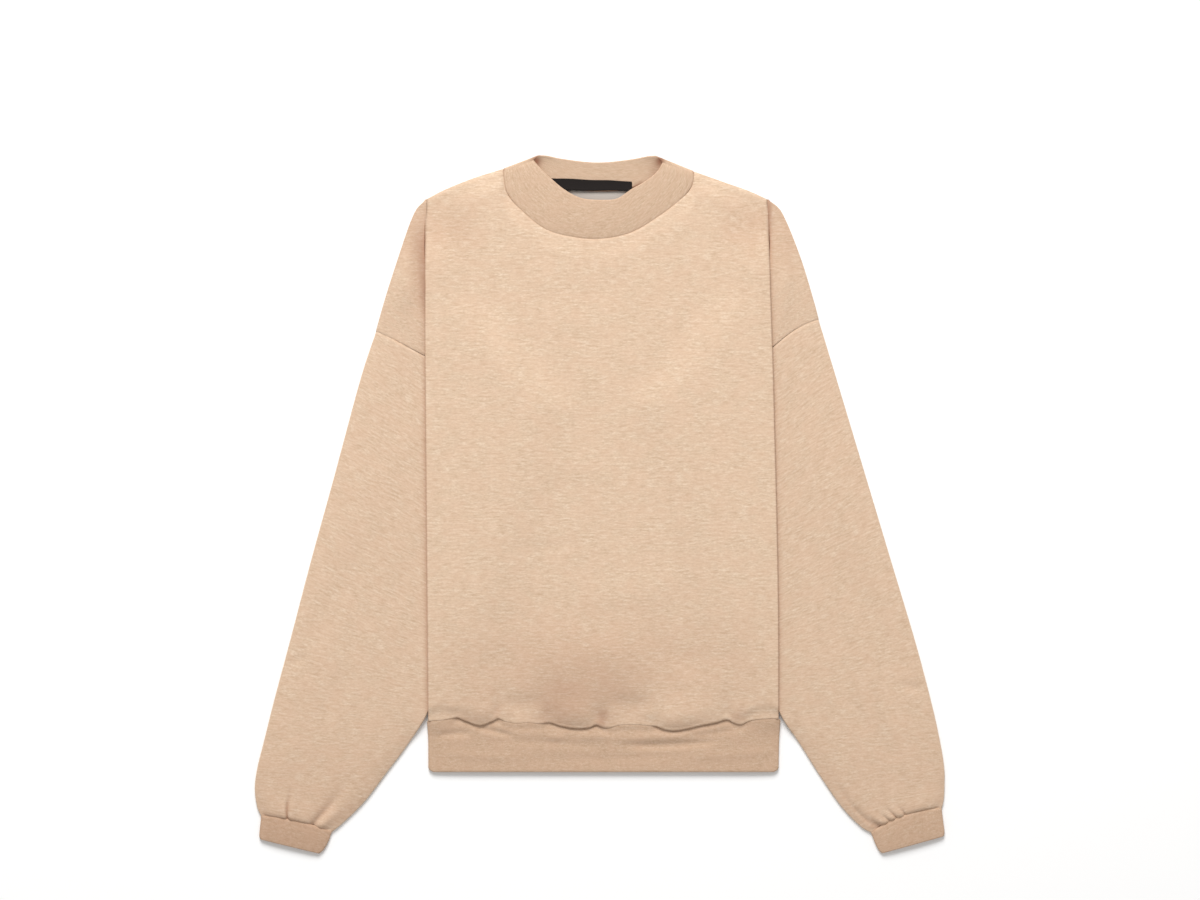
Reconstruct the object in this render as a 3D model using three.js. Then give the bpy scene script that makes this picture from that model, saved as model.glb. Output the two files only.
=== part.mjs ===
// A crewneck sweatshirt, laid flat with its side folds tucked in. Millimetres, +Z up, neck towards +Y.
import * as THREE from 'three';

// Wall thicknesses and the free space between walls
const FLEECE = 1.5;
const RIB = 1.8;
const TAPE = 1.0;
const SEAM_GAP = 0.35;
const LAYER_GAP = 0.35;

// How far the pieces keep off each other at their seams
const ARMHOLE_GAP = 0.7;
const HEM_SEAM_GAP = 0.525;
const NECK_SEAM_TRIM = 1.4;
const NECK_SEAM_IN = 0.875;

// Mid-heights of a wall that lies on the table, and of one that lies on that wall
const FLEECE_FLOOR = FLEECE / 2;
const FLEECE_SECOND = FLEECE_FLOOR + FLEECE + LAYER_GAP;
const RIB_FLOOR = RIB / 2;
const RIB_SECOND = RIB_FLOOR + RIB + LAYER_GAP;

// How far the outside of a folded edge stands beyond the end of its two layers
const FLEECE_EDGE = (FLEECE_SECOND - FLEECE_FLOOR) / 2 + FLEECE / 2;
const RIB_EDGE = (RIB_SECOND - RIB_FLOOR) / 2 + RIB / 2;

// The tuck at each side of the body: front, tuck, sleeve, tuck and back lie on each other
const FOLD_RADIUS = 0.95;
const TUCK_START = 345;
const TUCK_FULL = 288;
const SHALLOW_TURN = THREE.MathUtils.degToRad(20);
const SHALLOW_TUCK = 1.0;
const TUCK_CLEARANCE = 6.0;
const TUCKED_SECTIONS = 6;

// Heights: how far the front stands off the back between the tucks, and how the sleeves puff
const FRONT_RISE = 3.2;
const SEAM_RISE_SHARE = 0.5;
const SAG_REACH = 70;
const PINCH_REACH = 26;
const SHOULDER_PUFF = 2.8;
const PUFF_REACH = 14;
const STEP_START = 2;
const STEP_END = 26;
const STEP_STOPS = [0, 9, 17, 26];
const STEP_ROOM = 32.5;
const HIDDEN_LEAST = 3;
const HEM_FOLD_HEIGHT = 7.2;
const HEM_FALL_START = -237;
const HEM_FALL_END = -246;

// The body's folded edges, as distances from the middle line
const FOLD_EDGES = [
  { y: 360, left: 197.0, right: 191.0 },
  { y: 250, left: 197.5, right: 193.0 },
  { y: 140, left: 197.0, right: 196.5 },
  { y: -100, left: 195.0, right: 202.0 },
  { y: -260, left: 193.5, right: 202.5 },
];

// The shoulder's edge from the neck outwards, x as a distance from the middle line
const SHOULDER_EDGES = {
  left: [
    { x: 109.4, y: 379.0 },
    { x: 145.0, y: 367.8 },
    { x: 178.0, y: 354.3 },
    { x: 195.8, y: 345.0 },
    { x: 208.5, y: 332.8 },
    { x: 214.3, y: 319.0 },
    { x: 230.0, y: 275.2 },
    { x: 243.5, y: 230.0 },
    { x: 252.6, y: 194.9 },
  ],
  right: [
    { x: 107.2, y: 375.8 },
    { x: 143.0, y: 363.4 },
    { x: 169.0, y: 354.3 },
    { x: 189.8, y: 345.0 },
    { x: 204.0, y: 333.5 },
    { x: 211.9, y: 320.0 },
    { x: 228.8, y: 275.2 },
    { x: 240.0, y: 236.0 },
    { x: 247.5, y: 208.5 },
  ],
};
const SHOULDER_CORNER = 3;

// The seam between the body and the collar, from the left shoulder to the right one
const FRONT_NECK = [
  { x: -109.4, y: 379.0 },
  { x: -104.5, y: 352.0 },
  { x: -89.8, y: 332.8 },
  { x: -61.6, y: 310.2 },
  { x: -31.1, y: 301.2 },
  { x: 0.6, y: 298.9 },
  { x: 34.5, y: 305.7 },
  { x: 62.7, y: 321.5 },
  { x: 91.0, y: 343.0 },
  { x: 104.0, y: 359.0 },
  { x: 107.2, y: 375.8 },
];
const BACK_NECK = [
  { x: -109.4, y: 379.0 },
  { x: -78.5, y: 373.0 },
  { x: -44.6, y: 367.5 },
  { x: 0.6, y: 363.5 },
  { x: 45.8, y: 364.5 },
  { x: 80.0, y: 370.0 },
  { x: 107.2, y: 375.8 },
];

// The collar's free edge
const FRONT_RIM = [
  { x: -76.3, y: 390.0 },
  { x: -66.0, y: 377.0 },
  { x: -52.5, y: 364.4 },
  { x: -40.1, y: 354.3 },
  { x: -22.0, y: 344.8 },
  { x: 0.6, y: 342.4 },
  { x: 20.0, y: 344.0 },
  { x: 37.0, y: 355.0 },
  { x: 52.0, y: 363.5 },
  { x: 65.0, y: 374.0 },
  { x: 72.9, y: 388.0 },
];
const BACK_RIM = [
  { x: -76.3, y: 390.0 },
  { x: -67.2, y: 393.4 },
  { x: -44.0, y: 389.6 },
  { x: -2.8, y: 385.3 },
  { x: 40.0, y: 389.3 },
  { x: 63.8, y: 393.4 },
  { x: 72.9, y: 388.0 },
];
const NECK_SEAM_LIFT = 1.0;
const NECK_RIM_LIFT = 2.4;

// Where the neck's folded corners point, from the seam outwards
const CORNER_DIRECTIONS = {
  start: new THREE.Vector3(-0.33, 0.94, 0).normalize(),
  end: new THREE.Vector3(0.34, 0.94, 0).normalize(),
};

// Sleeve sections, from the armhole to the cuff: the outer edge, the inner edge and the puff
const SLEEVE_SECTIONS = {
  left: [
    { outX: 252.6, outY: 194.9, inX: 87.6, inY: 109.0, puff: 2.8 },
    { outX: 270.6, outY: 139.6, inX: 104.5, inY: 52.5, puff: 2.8 },
    { outX: 301.1, outY: 26.6, inX: 135.0, inY: -46.9, puff: 3.0 },
    { outX: 326.0, outY: -63.8, inX: 161.0, inY: -131.6, puff: 3.0 },
    { outX: 349.7, outY: -154.2, inX: 180.2, inY: -193.0, puff: 3.0 },
    { outX: 367.8, outY: -222.0, inX: 194.5, inY: -237.0, puff: 3.2 },
    { outX: 379.1, outY: -267.2, inX: 216.4, inY: -271.8, puff: 3.4 },
    { outX: 387.0, outY: -298.9, inX: 240.1, inY: -303.4, puff: 3.4 },
    { outX: 389.9, outY: -321.5, inX: 265.0, inY: -336.2, puff: 3.4 },
    { outX: 387.6, outY: -341.8, inX: 289.9, inY: -361.0, puff: 3.2 },
    { outX: 383.0, outY: -352.8, inX: 302.3, inY: -371.2, puff: 2.6 },
  ],
  right: [
    { outX: 247.5, outY: 208.5, inX: 98.9, inY: 114.7, puff: 2.8 },
    { outX: 265.0, outY: 150.9, inX: 117.0, inY: 58.2, puff: 2.8 },
    { outX: 302.3, outY: 26.6, inX: 146.3, inY: -46.9, puff: 3.0 },
    { outX: 329.4, outY: -63.8, inX: 171.2, inY: -131.6, puff: 3.0 },
    { outX: 356.5, outY: -154.2, inX: 189.3, inY: -193.0, puff: 3.0 },
    { outX: 374.6, outY: -222.0, inX: 203.8, inY: -237.0, puff: 3.2 },
    { outX: 384.8, outY: -267.2, inX: 226.6, inY: -271.8, puff: 3.4 },
    { outX: 389.9, outY: -298.9, inX: 248.0, inY: -305.7, puff: 3.4 },
    { outX: 390.2, outY: -321.5, inX: 272.9, inY: -341.8, puff: 3.4 },
    { outX: 389.3, outY: -335.0, inX: 294.4, inY: -364.4, puff: 3.2 },
    { outX: 387.0, outY: -344.4, inX: 306.8, inY: -372.0, puff: 2.6 },
  ],
};

// Cuff sections, from the sleeve's seam to the free end
const CUFF_SECTIONS = {
  left: [
    { outX: 382.8, outY: -353.6, inX: 302.8, inY: -371.9, puff: 2.2 },
    { outX: 384.0, outY: -366.0, inX: 307.0, inY: -383.0, puff: 2.0 },
    { outX: 384.8, outY: -376.0, inX: 312.0, inY: -391.5, puff: 1.6 },
    { outX: 383.4, outY: -379.2, inX: 316.5, inY: -395.3, puff: 1.2 },
  ],
  right: [
    { outX: 387.0, outY: -345.2, inX: 307.2, inY: -372.8, puff: 2.2 },
    { outX: 388.6, outY: -358.0, inX: 311.5, inY: -383.5, puff: 2.0 },
    { outX: 390.2, outY: -371.0, inX: 315.5, inY: -391.5, puff: 1.6 },
    { outX: 389.4, outY: -375.6, inX: 319.0, inY: -395.0, puff: 1.2 },
  ],
};
const CUFF_RISE_REACH = 8;

// Gathers above the cuffs: at is the share of the way from the outer edge to the inner one
const CUFF_GATHERS = {
  left: [
    { at: 0.42, width: 5, lift: -1.6, length: 30 },
    { at: 0.30, width: 8, lift: 1.0, length: 24 },
    { at: 0.56, width: 9, lift: 1.2, length: 30 },
    { at: 0.74, width: 6, lift: -1.3, length: 34 },
    { at: 0.88, width: 7, lift: 0.8, length: 26 },
  ],
  right: [
    { at: 0.14, width: 7, lift: 0.8, length: 22 },
    { at: 0.48, width: 5, lift: -1.4, length: 14 },
    { at: 0.58, width: 5, lift: 1.0, length: 14 },
    { at: 0.66, width: 5, lift: -1.3, length: 16 },
    { at: 0.80, width: 6, lift: 1.2, length: 24 },
    { at: 0.92, width: 6, lift: -1.2, length: 36 },
  ],
};

// The wavy seam above the waistband, and the gathers that hang over it
const HEM_SEAM = [
  { x: -193.5, y: -247.5 },
  { x: -182.0, y: -247.5 },
  { x: -161.0, y: -243.5 },
  { x: -133.9, y: -252.0 },
  { x: -112.4, y: -244.6 },
  { x: -78.5, y: -249.7 },
  { x: -27.7, y: -254.3 },
  { x: -2.8, y: -248.6 },
  { x: 11.9, y: -255.4 },
  { x: 40.1, y: -251.4 },
  { x: 79.7, y: -257.1 },
  { x: 110.2, y: -252.6 },
  { x: 145.2, y: -245.8 },
  { x: 161.0, y: -250.9 },
  { x: 178.0, y: -244.5 },
  { x: 192.0, y: -247.5 },
  { x: 203.0, y: -247.5 },
];
const HEM_GATHERS = [
  { x: -170, width: 12, lift: 1.2, length: 20 },
  { x: -143, width: 14, lift: 2.2, length: 18 },
  { x: -114, width: 9, lift: -1.4, length: 24 },
  { x: -92, width: 15, lift: 2.0, length: 20 },
  { x: -60, width: 9, lift: -1.6, length: 26 },
  { x: -28, width: 16, lift: 2.3, length: 20 },
  { x: -5, width: 8, lift: -1.7, length: 28 },
  { x: 30, width: 20, lift: 2.2, length: 22 },
  { x: 56, width: 8, lift: -1.0, length: 18 },
  { x: 74, width: 12, lift: 2.0, length: 18 },
  { x: 108, width: 16, lift: 1.8, length: 22 },
  { x: 143, width: 8, lift: -1.5, length: 20 },
  { x: 168, width: 11, lift: 1.2, length: 18 },
];
const HEM_BLOUSE = 0.9;
const HEM_BLOUSE_REACH = 24;
const HEM_BACK = -247;
const HEM_BOTTOM = -302.8;
const HEM_CORNER = 5;
const HEM_RISE = 1.6;

// The strip inside the back of the neck: its lower edge and the height of the strip
const TAPE_LEFT = -59;
const TAPE_RIGHT = 36.4;
const TAPE_BOTTOM = 355.4;
const TAPE_BOTTOM_RISE = 2.4;
const TAPE_HEIGHT = 7.2;

// Rows of the body panels: the height at the side folds and the share of the shoulder's outer edge
const SHOULDER_ROWS = [
  { fold: 345, edge: 0.03 },
  { fold: 334, edge: 0.09 },
  { fold: 323, edge: 0.16 },
  { fold: 312, edge: 0.23 },
  { fold: 300, edge: 0.31 },
  { fold: 286, edge: 0.41 },
  { fold: 262, edge: 0.53 },
  { fold: 228, edge: 0.66 },
  { fold: 180, edge: 0.83 },
];
const BODY_ROWS = [96, 40, -20, -90, -150, -205];
const HEM_ROWS = { front: [0.3, 0.56, 0.76, 0.9, 1], back: [0.7, 1] };
const RELAXED_ROW = 7;

// Rows along and steps across the other pieces
const NECK_STEPS = { front: 16, back: 8 };
const COLLAR_ROWS = [0, 0.3, 0.65, 1];
const BAND_ROWS = [0, 0.35, 0.9, 1];
const BAND_STEPS = { upper: 48, lower: 10 };
const CUFF_STEPS = { upper: 8, lower: 4 };
const SLEEVE_STATIONS = 15;
const SLEEVE_STEPS = 7;
const TAPE_STEPS = 8;

const smooth = (from, to, value) => {
  const share = THREE.MathUtils.clamp((value - from) / (to - from), 0, 1);
  return share * share * (3 - 2 * share);
};
const mix = THREE.MathUtils.lerp;

// Smooth value of one column of a table, by another column
function lookUp(table, key, value, column) {
  const rising = table[0][key] < table[table.length - 1][key];
  const rows = rising ? table : [...table].reverse();
  const at = THREE.MathUtils.clamp(value, rows[0][key], rows[rows.length - 1][key]);
  let i = 0;
  while (i < rows.length - 2 && rows[i + 1][key] < at) {
    i += 1;
  }
  const slope = (a, b) => (rows[b][column] - rows[a][column]) / (rows[b][key] - rows[a][key]);
  const span = rows[i + 1][key] - rows[i][key];
  const start = slope(Math.max(i - 1, 0), i + 1);
  const end = slope(i, Math.min(i + 2, rows.length - 1));
  const t = (at - rows[i][key]) / span;
  const rise = rows[i + 1][column] - rows[i][column];
  const bend = (start * span - rise) * (1 - t) - (end * span - rise) * t;
  return rows[i][column] + rise * t + t * (1 - t) * bend;
}

// All columns of a table at a share of the way through its rows
function sectionAt(table, share) {
  const numbered = table.map((row, index) => ({ ...row, index }));
  const at = share * (table.length - 1);
  const names = Object.keys(table[0]);
  return Object.fromEntries(names.map((name) => [name, lookUp(numbered, 'index', at, name)]));
}

// A smooth line through a table's points
function lineThrough(table) {
  return new THREE.CatmullRomCurve3(table.map((row) => new THREE.Vector3(row.x, row.y, 0)));
}

// A closed wall round a mid-surface of cells, half the thickness to each side of it
function wallGeometry(points, cells, thickness) {
  const normals = points.map(() => new THREE.Vector3());
  const faces = [];
  for (const cell of cells) {
    for (let i = 2; i < cell.length; i += 1) {
      faces.push([cell[0], cell[i - 1], cell[i]]);
    }
    const last = points[cell[cell.length - 1]];
    const across = points[cell[2]].clone().sub(points[cell[0]]);
    const normal = across.cross(last.clone().sub(points[cell[1]]));
    if (cell.length === 3) {
      normal.subVectors(points[cell[1]], points[cell[0]]);
      normal.cross(last.clone().sub(points[cell[0]]));
    }
    normal.normalize();
    cell.forEach((corner) => normals[corner].add(normal));
  }
  normals.forEach((normal) => normal.normalize());
  const outer = points.map((point, i) => point.clone().addScaledVector(normals[i], thickness / 2));
  const inner = points.map((point, i) => point.clone().addScaledVector(normals[i], -thickness / 2));
  const count = points.length;
  const index = [];
  const edges = new Map();
  for (const [a, b, c] of faces) {
    index.push(a, b, c, a + count, c + count, b + count);
    edges.set(`${a},${b}`, [a, b]).set(`${b},${c}`, [b, c]).set(`${c},${a}`, [c, a]);
  }
  for (const [a, b] of edges.values()) {
    if (!edges.has(`${b},${a}`)) {
      index.push(b, a, a + count, b, a + count, b + count);
    }
  }
  const geometry = new THREE.BufferGeometry().setFromPoints([...outer, ...inner]);
  geometry.setIndex(index);
  geometry.computeVertexNormals();
  return geometry;
}

// The tuck at one height: the fold's reach, its turn, the tuck's depth and the height of the front
function tuckAt(y, side) {
  const reach = lookUp(FOLD_EDGES, 'y', y, side) - FLEECE / 2;
  const sleeve = SLEEVE_SECTIONS[side];
  const underarm = sleeve[0];
  const grown = smooth(TUCK_START, TUCK_FULL, y);
  const turn = mix(SHALLOW_TURN, Math.PI, grown);
  const innerEdge = lookUp(sleeve.slice(0, TUCKED_SECTIONS), 'inY', y, 'inX');
  const depthBelow = reach - FOLD_RADIUS + TUCK_CLEARANCE - innerEdge;
  const depthAbove = mix(SHALLOW_TUCK, depthBelow, (TUCK_FULL - y) / (TUCK_FULL - underarm.inY));
  const depth = y > underarm.inY ? Math.max(SHALLOW_TUCK, depthAbove) : depthBelow;
  const drop = 2 * FOLD_RADIUS * (1 - Math.cos(turn)) + depth * Math.sin(turn);
  const full = FLEECE_SECOND + 2 * drop;
  const height = mix(full, HEM_FOLD_HEIGHT, smooth(HEM_FALL_START, HEM_FALL_END, y));
  return { reach, turn, depth, drop, height };
}

// Where the body's tuck turns, as a distance from the middle line
function turnLine(y, side) {
  const { reach, depth } = tuckAt(y, side);
  return reach - depth - 3 * FOLD_RADIUS;
}

// Points of the tuck from the folded edge inwards: distance from the middle and depth below the panel
function tuckProfile(y, side, seamed, counts) {
  const { reach, turn, depth, height } = tuckAt(y, side);
  const start = reach - FOLD_RADIUS;
  const profile = [];
  for (let i = 1; i <= counts.edge; i += 1) {
    const angle = (turn * i) / counts.edge;
    profile.push([start + FOLD_RADIUS * Math.sin(angle), FOLD_RADIUS * (1 - Math.cos(angle))]);
  }
  const [edgeAt, edgeDepth] = profile[profile.length - 1];
  const inner = [edgeAt + depth * Math.cos(turn), edgeDepth + depth * Math.sin(turn)];
  profile.push(inner);
  const middle = (height - FLEECE_FLOOR) / 2 - SEAM_GAP;
  const radius = seamed ? middle - inner[1] : FOLD_RADIUS;
  const last = seamed ? Math.PI / 2 : 0;
  for (let i = 1; i <= counts.turn; i += 1) {
    const angle = mix(turn, last, i / counts.turn);
    const across = radius * (Math.sin(turn) - Math.sin(angle));
    profile.push([inner[0] + across, inner[1] + radius * (Math.cos(angle) - Math.cos(turn))]);
  }
  return profile;
}

// How far a point has stepped down from the tucks to the table, from 0 to 1
function stepShare(x, y, side) {
  const beyond = Math.abs(x) - lookUp(FOLD_EDGES, 'y', y, side);
  return smooth(STEP_START, STEP_END, beyond);
}

// Shares of the way from a layer's hidden end to its outer end, with stops where it steps down
function layerShares(inner, outer, side) {
  const edge = lookUp(FOLD_EDGES, 'y', inner.y, side);
  const from = Math.abs(inner.x);
  const whole = Math.abs(outer.x) - from;
  const first = Math.max(edge - from, HIDDEN_LEAST);
  const scale = Math.min(1, (whole - first) / STEP_ROOM);
  return [...STEP_STOPS.map((stop) => (first + stop * scale) / whole), 1];
}

// Mid-heights of the upper and lower layers of the shoulders and sleeves
function upperLayer(x, y, side, fromEdge, puff) {
  const inside = FLEECE_SECOND + tuckAt(y, side).drop;
  const outside = FLEECE_SECOND + puff * (1 - Math.exp(-fromEdge / PUFF_REACH));
  return mix(inside, outside, stepShare(x, y, side));
}
function lowerLayer(x, y, side) {
  return mix(FLEECE_FLOOR + tuckAt(y, side).drop, FLEECE_FLOOR, stepShare(x, y, side));
}

// Sum of a table's gathers at one place: across is the distance to each gather's middle
function gatherLift(gathers, across, fromSeam) {
  return gathers.reduce((sum, gather) => {
    const away = across(gather) / gather.width;
    const fade = Math.exp(-fromSeam / gather.length);
    return sum + gather.lift * fade * Math.exp(-away * away);
  }, 0);
}

// Mid-height of the front between its side folds
function frontHeight(x, y, below) {
  const side = x < 0 ? 'left' : 'right';
  const fold = tuckAt(Math.min(y, TUCK_START), side).height;
  const fromSeam = Math.max(0, y - lookUp(HEM_SEAM, 'x', x, 'y'));
  const gathers = gatherLift(HEM_GATHERS, (gather) => x - gather.x, fromSeam);
  const blouse = HEM_BLOUSE * smooth(HEM_BLOUSE_REACH * 2, HEM_BLOUSE_REACH / 2, fromSeam);
  const seamFall = smooth(0, HEM_BLOUSE_REACH / 2, fromSeam);
  const rise = (FRONT_RISE * mix(SEAM_RISE_SHARE, 1, seamFall) + blouse) * smooth(0, PINCH_REACH, below);
  const middle = FLEECE_SECOND + rise + Math.max(gathers, -rise);
  const turn = turnLine(y, side);
  return mix(middle, fold, smooth(turn - SAG_REACH, turn, Math.abs(x)));
}

// Columns of the middle stretch on the top edge: shoulder, neck, shoulder
function topEdge(neck, counts) {
  const neckLine = lineThrough(neck);
  const top = [];
  for (const side of ['left', 'right']) {
    const sign = side === 'left' ? -1 : 1;
    const shoulder = SHOULDER_EDGES[side].slice(0, SHOULDER_CORNER + 1);
    const line = lineThrough(shoulder.map((row) => ({ x: sign * row.x, y: row.y })));
    top.push(line.getSpacedPoints(counts.shoulder));
  }
  const [left, right] = top;
  return [...left.reverse(), ...neckLine.getSpacedPoints(counts.neck).slice(1, -1), ...right];
}

// One body panel. The mid-height of its middle and of its tucked layers come from the two functions
function bodyPanel({ neck, counts, seamAt, middleHeight, tuckHeight, layerHeight }) {
  const top = topEdge(neck, counts);
  const last = top.length - 1;
  const points = [];
  const rows = [];
  const relaxed = SHOULDER_ROWS[RELAXED_ROW].fold;
  const foldRows = [...SHOULDER_ROWS.map((row) => row.fold), null, ...BODY_ROWS];
  const add = (x, y, z) => points.push(new THREE.Vector3(x, y, z)) - 1;

  // The tucked layers of one side, from the folded edge inwards and out again to the shoulder's edge
  const sideOf = (side, y, rowIndex) => {
    const sign = side === 'left' ? -1 : 1;
    const outward = rowIndex <= SHOULDER_ROWS.length;
    const profile = tuckProfile(y, side, !outward, counts);
    const indices = profile.map(([x, depth]) => add(sign * x, y, tuckHeight(y, side, depth)));
    if (!outward) {
      return indices;
    }
    const edge = SHOULDER_EDGES[side].slice(SHOULDER_CORNER);
    const edgeLine = lineThrough(edge.map((row) => ({ x: sign * row.x, y: row.y })));
    const edgeShare = rowIndex < SHOULDER_ROWS.length ? SHOULDER_ROWS[rowIndex].edge : 1;
    const outer = edgeLine.getPointAt(edgeShare);
    const start = new THREE.Vector3(sign * profile[profile.length - 1][0], y, 0);
    const length = start.distanceTo(outer);
    for (const share of layerShares(start, outer, side)) {
      const spot = start.clone().lerp(outer, share);
      indices.push(add(spot.x, spot.y, layerHeight(spot.x, spot.y, side, length * (1 - share))));
    }
    return indices;
  };

  // The middle stretch at one height, bent to the neck near the top and to the seam at the bottom
  const middleOf = (y, leftY, rightY, seamShare) => {
    const reachLeft = tuckAt(leftY, 'left').reach - FOLD_RADIUS;
    const reachRight = tuckAt(rightY, 'right').reach - FOLD_RADIUS;
    const blend = THREE.MathUtils.clamp((TUCK_START - y) / (TUCK_START - relaxed), 0, 1);
    const indices = [];
    const count = seamShare > 0 ? last * counts.hemSplit : last;
    for (let i = 0; i <= count; i += 1) {
      const x = mix(-reachLeft, reachRight, i / count);
      const topPoint = top[Math.round((i * last) / count)];
      const bentX = mix(topPoint.x, x, blend);
      const bentY = mix(topPoint.y, mix(leftY, rightY, i / count) + (relaxed - y) * (1 - blend), blend);
      const seamed = mix(y, seamAt(x), seamShare);
      const spotX = blend < 1 ? bentX : x;
      const flatY = mix(leftY, rightY, i / count);
      const spotY = blend < 1 ? bentY : seamShare > 0 ? seamed : flatY;
      indices.push(add(spotX, spotY, middleHeight(spotX, spotY, topPoint.y - spotY)));
    }
    return indices;
  };

  foldRows.forEach((fold, rowIndex) => {
    const leftY = fold ?? SLEEVE_SECTIONS.left[0].inY;
    const rightY = fold ?? SLEEVE_SECTIONS.right[0].inY;
    const y = (leftY + rightY) / 2;
    rows.push({
      left: sideOf('left', leftY, rowIndex),
      middle: middleOf(y, leftY, rightY, 0),
      right: sideOf('right', rightY, rowIndex),
    });
  });
  const bottom = BODY_ROWS[BODY_ROWS.length - 1];
  for (const share of counts.hemRows) {
    const leftY = mix(bottom, seamAt(-Infinity), share);
    const rightY = mix(bottom, seamAt(Infinity), share);
    rows.push({
      left: sideOf('left', leftY, Infinity),
      middle: middleOf(bottom, leftY, rightY, share),
      right: sideOf('right', rightY, Infinity),
    });
  }

  // Cells between the rows. Only rows with as many columns share four-sided cells
  const cells = [];
  const join = (above, below) => {
    for (let i = 1; i < Math.min(above.length, below.length); i += 1) {
      cells.push([above[i - 1], below[i - 1], below[i], above[i]]);
    }
  };
  for (let r = 1; r < rows.length; r += 1) {
    const above = rows[r - 1];
    const below = rows[r];
    const split = (below.middle.length - 1) / (above.middle.length - 1);
    if (split === 1) {
      join(above.middle, below.middle);
    } else {
      for (let i = 1; i < above.middle.length; i += 1) {
        const [a, b] = [above.middle[i - 1], above.middle[i]];
        const [c, d, e] = below.middle.slice((i - 1) * split, i * split + 1);
        cells.push([a, c, d], [a, d, b], [b, d, e]);
      }
    }
    join([above.middle.at(-1), ...above.right], [below.middle.at(-1), ...below.right]);
    const turned = (row) => [row.middle[0], ...row.left];
    const leftCells = cells.length;
    join(turned(above), turned(below));
    for (let i = leftCells; i < cells.length; i += 1) {
      cells[i].reverse();
    }
  }
  return wallGeometry(points, cells, FLEECE);
}

function frontPanel() {
  return bodyPanel({
    neck: FRONT_NECK,
    counts: { shoulder: 4, neck: NECK_STEPS.front, edge: 4, turn: 3, hemSplit: 2, hemRows: HEM_ROWS.front },
    seamAt: (x) => lookUp(HEM_SEAM, 'x', x, 'y'),
    middleHeight: frontHeight,
    tuckHeight: (y, side, depth) => tuckAt(y, side).height - depth,
    layerHeight: (x, y, side, fromEdge) => upperLayer(x, y, side, fromEdge, SHOULDER_PUFF),
  });
}

function backPanel() {
  return bodyPanel({
    neck: BACK_NECK,
    counts: { shoulder: 2, neck: NECK_STEPS.back, edge: 3, turn: 3, hemSplit: 1, hemRows: HEM_ROWS.back },
    seamAt: () => HEM_BACK + SEAM_GAP,
    middleHeight: () => FLEECE_FLOOR,
    tuckHeight: (y, side, depth) => FLEECE_FLOOR + depth,
    layerHeight: (x, y, side) => lowerLayer(x, y, side),
  });
}

// One closed section of a flattened tube: the upper layer, a rounded edge, the lower layer, an edge
function flatSection(upper, lower, outward) {
  const ring = [...upper];
  const turnRound = (from, to, out) => {
    const middle = from.clone().add(to).multiplyScalar(0.5);
    const half = from.clone().sub(to).multiplyScalar(0.5);
    const radius = half.length();
    for (const angle of [Math.PI / 4, Math.PI / 2, (3 * Math.PI) / 4]) {
      const spot = middle.clone().addScaledVector(half, Math.cos(angle));
      ring.push(spot.addScaledVector(out, radius * Math.sin(angle)));
    }
  };
  turnRound(upper.at(-1), lower.at(-1), outward.end);
  ring.push(...[...lower].reverse());
  turnRound(lower[0], upper[0], outward.start);
  return ring;
}

// A tube from closed sections of as many points, open at both ends
function tubeGeometry(sections, thickness) {
  const points = sections.flat();
  const around = sections[0].length;
  const cells = [];
  for (let s = 1; s < sections.length; s += 1) {
    for (let i = 0; i < around; i += 1) {
      const next = (i + 1) % around;
      const above = (s - 1) * around;
      const below = s * around;
      cells.push([above + i, below + i, below + next, above + next]);
    }
  }
  return wallGeometry(points, cells, thickness);
}

// Equal shares of a width
function equalShares(steps) {
  return Array.from({ length: steps + 1 }, (_, i) => i / steps);
}

// Points across a laid tube at shares of the way from its outer edge to its inner edge
function acrossTube(section, sign, shares, edge, heightAt) {
  const outer = new THREE.Vector3(sign * section.outX, section.outY, 0);
  const inner = new THREE.Vector3(sign * section.inX, section.inY, 0);
  const out = outer.clone().sub(inner).normalize();
  const start = outer.clone().addScaledVector(out, -edge);
  const end = inner.clone().addScaledVector(out, edge);
  const width = start.distanceTo(end);
  const points = shares.map((share) => {
    const spot = start.clone().lerp(end, share);
    spot.z = heightAt(spot, share, width * Math.min(share, 1 - share), width);
    return spot;
  });
  return { points, out };
}

function sleeve(side) {
  const sign = side === 'left' ? -1 : 1;
  const table = SLEEVE_SECTIONS[side];
  const sections = [];
  for (const share of equalShares(SLEEVE_STATIONS)) {
    const section = sectionAt(table, share);
    const end = table[table.length - 1];
    const fromCuff = Math.hypot(section.outX - end.outX, section.outY - end.outY);
    const gap = share === 0 ? ARMHOLE_GAP : 0;
    section.outY -= gap;
    section.inY -= gap;
    const inner = new THREE.Vector3(sign * section.inX, section.inY, 0);
    const outer = new THREE.Vector3(sign * section.outX, section.outY, 0);
    const stops = [0, ...layerShares(inner, outer, side)].map((share) => 1 - share).reverse();
    const open = equalShares(SLEEVE_STEPS).slice(0, -1).map((share) => share * stops[1]);
    const upperShares = [...open, ...stops.slice(1)];
    const upper = acrossTube(section, sign, upperShares, FLEECE_EDGE, (spot, share, fromEdge, width) => {
      const gathers = gatherLift(CUFF_GATHERS[side], (gather) => (share - gather.at) * width, fromCuff);
      const lift = Math.max(gathers, -section.puff / 2) * Math.min(1, fromEdge / PUFF_REACH);
      return upperLayer(spot.x, spot.y, side, fromEdge, section.puff) + lift;
    });
    const lower = acrossTube(section, sign, stops, FLEECE_EDGE, (spot) => lowerLayer(spot.x, spot.y, side));
    const outward = { start: upper.out, end: upper.out.clone().negate() };
    sections.push(flatSection(upper.points, lower.points, outward));
  }
  return tubeGeometry(orient(sections, sign), FLEECE);
}

// Sections run from the outer edge inwards, so those of the left side are turned round
function orient(sections, sign) {
  return sign < 0 ? sections : sections.map((section) => [...section].reverse());
}

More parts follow.
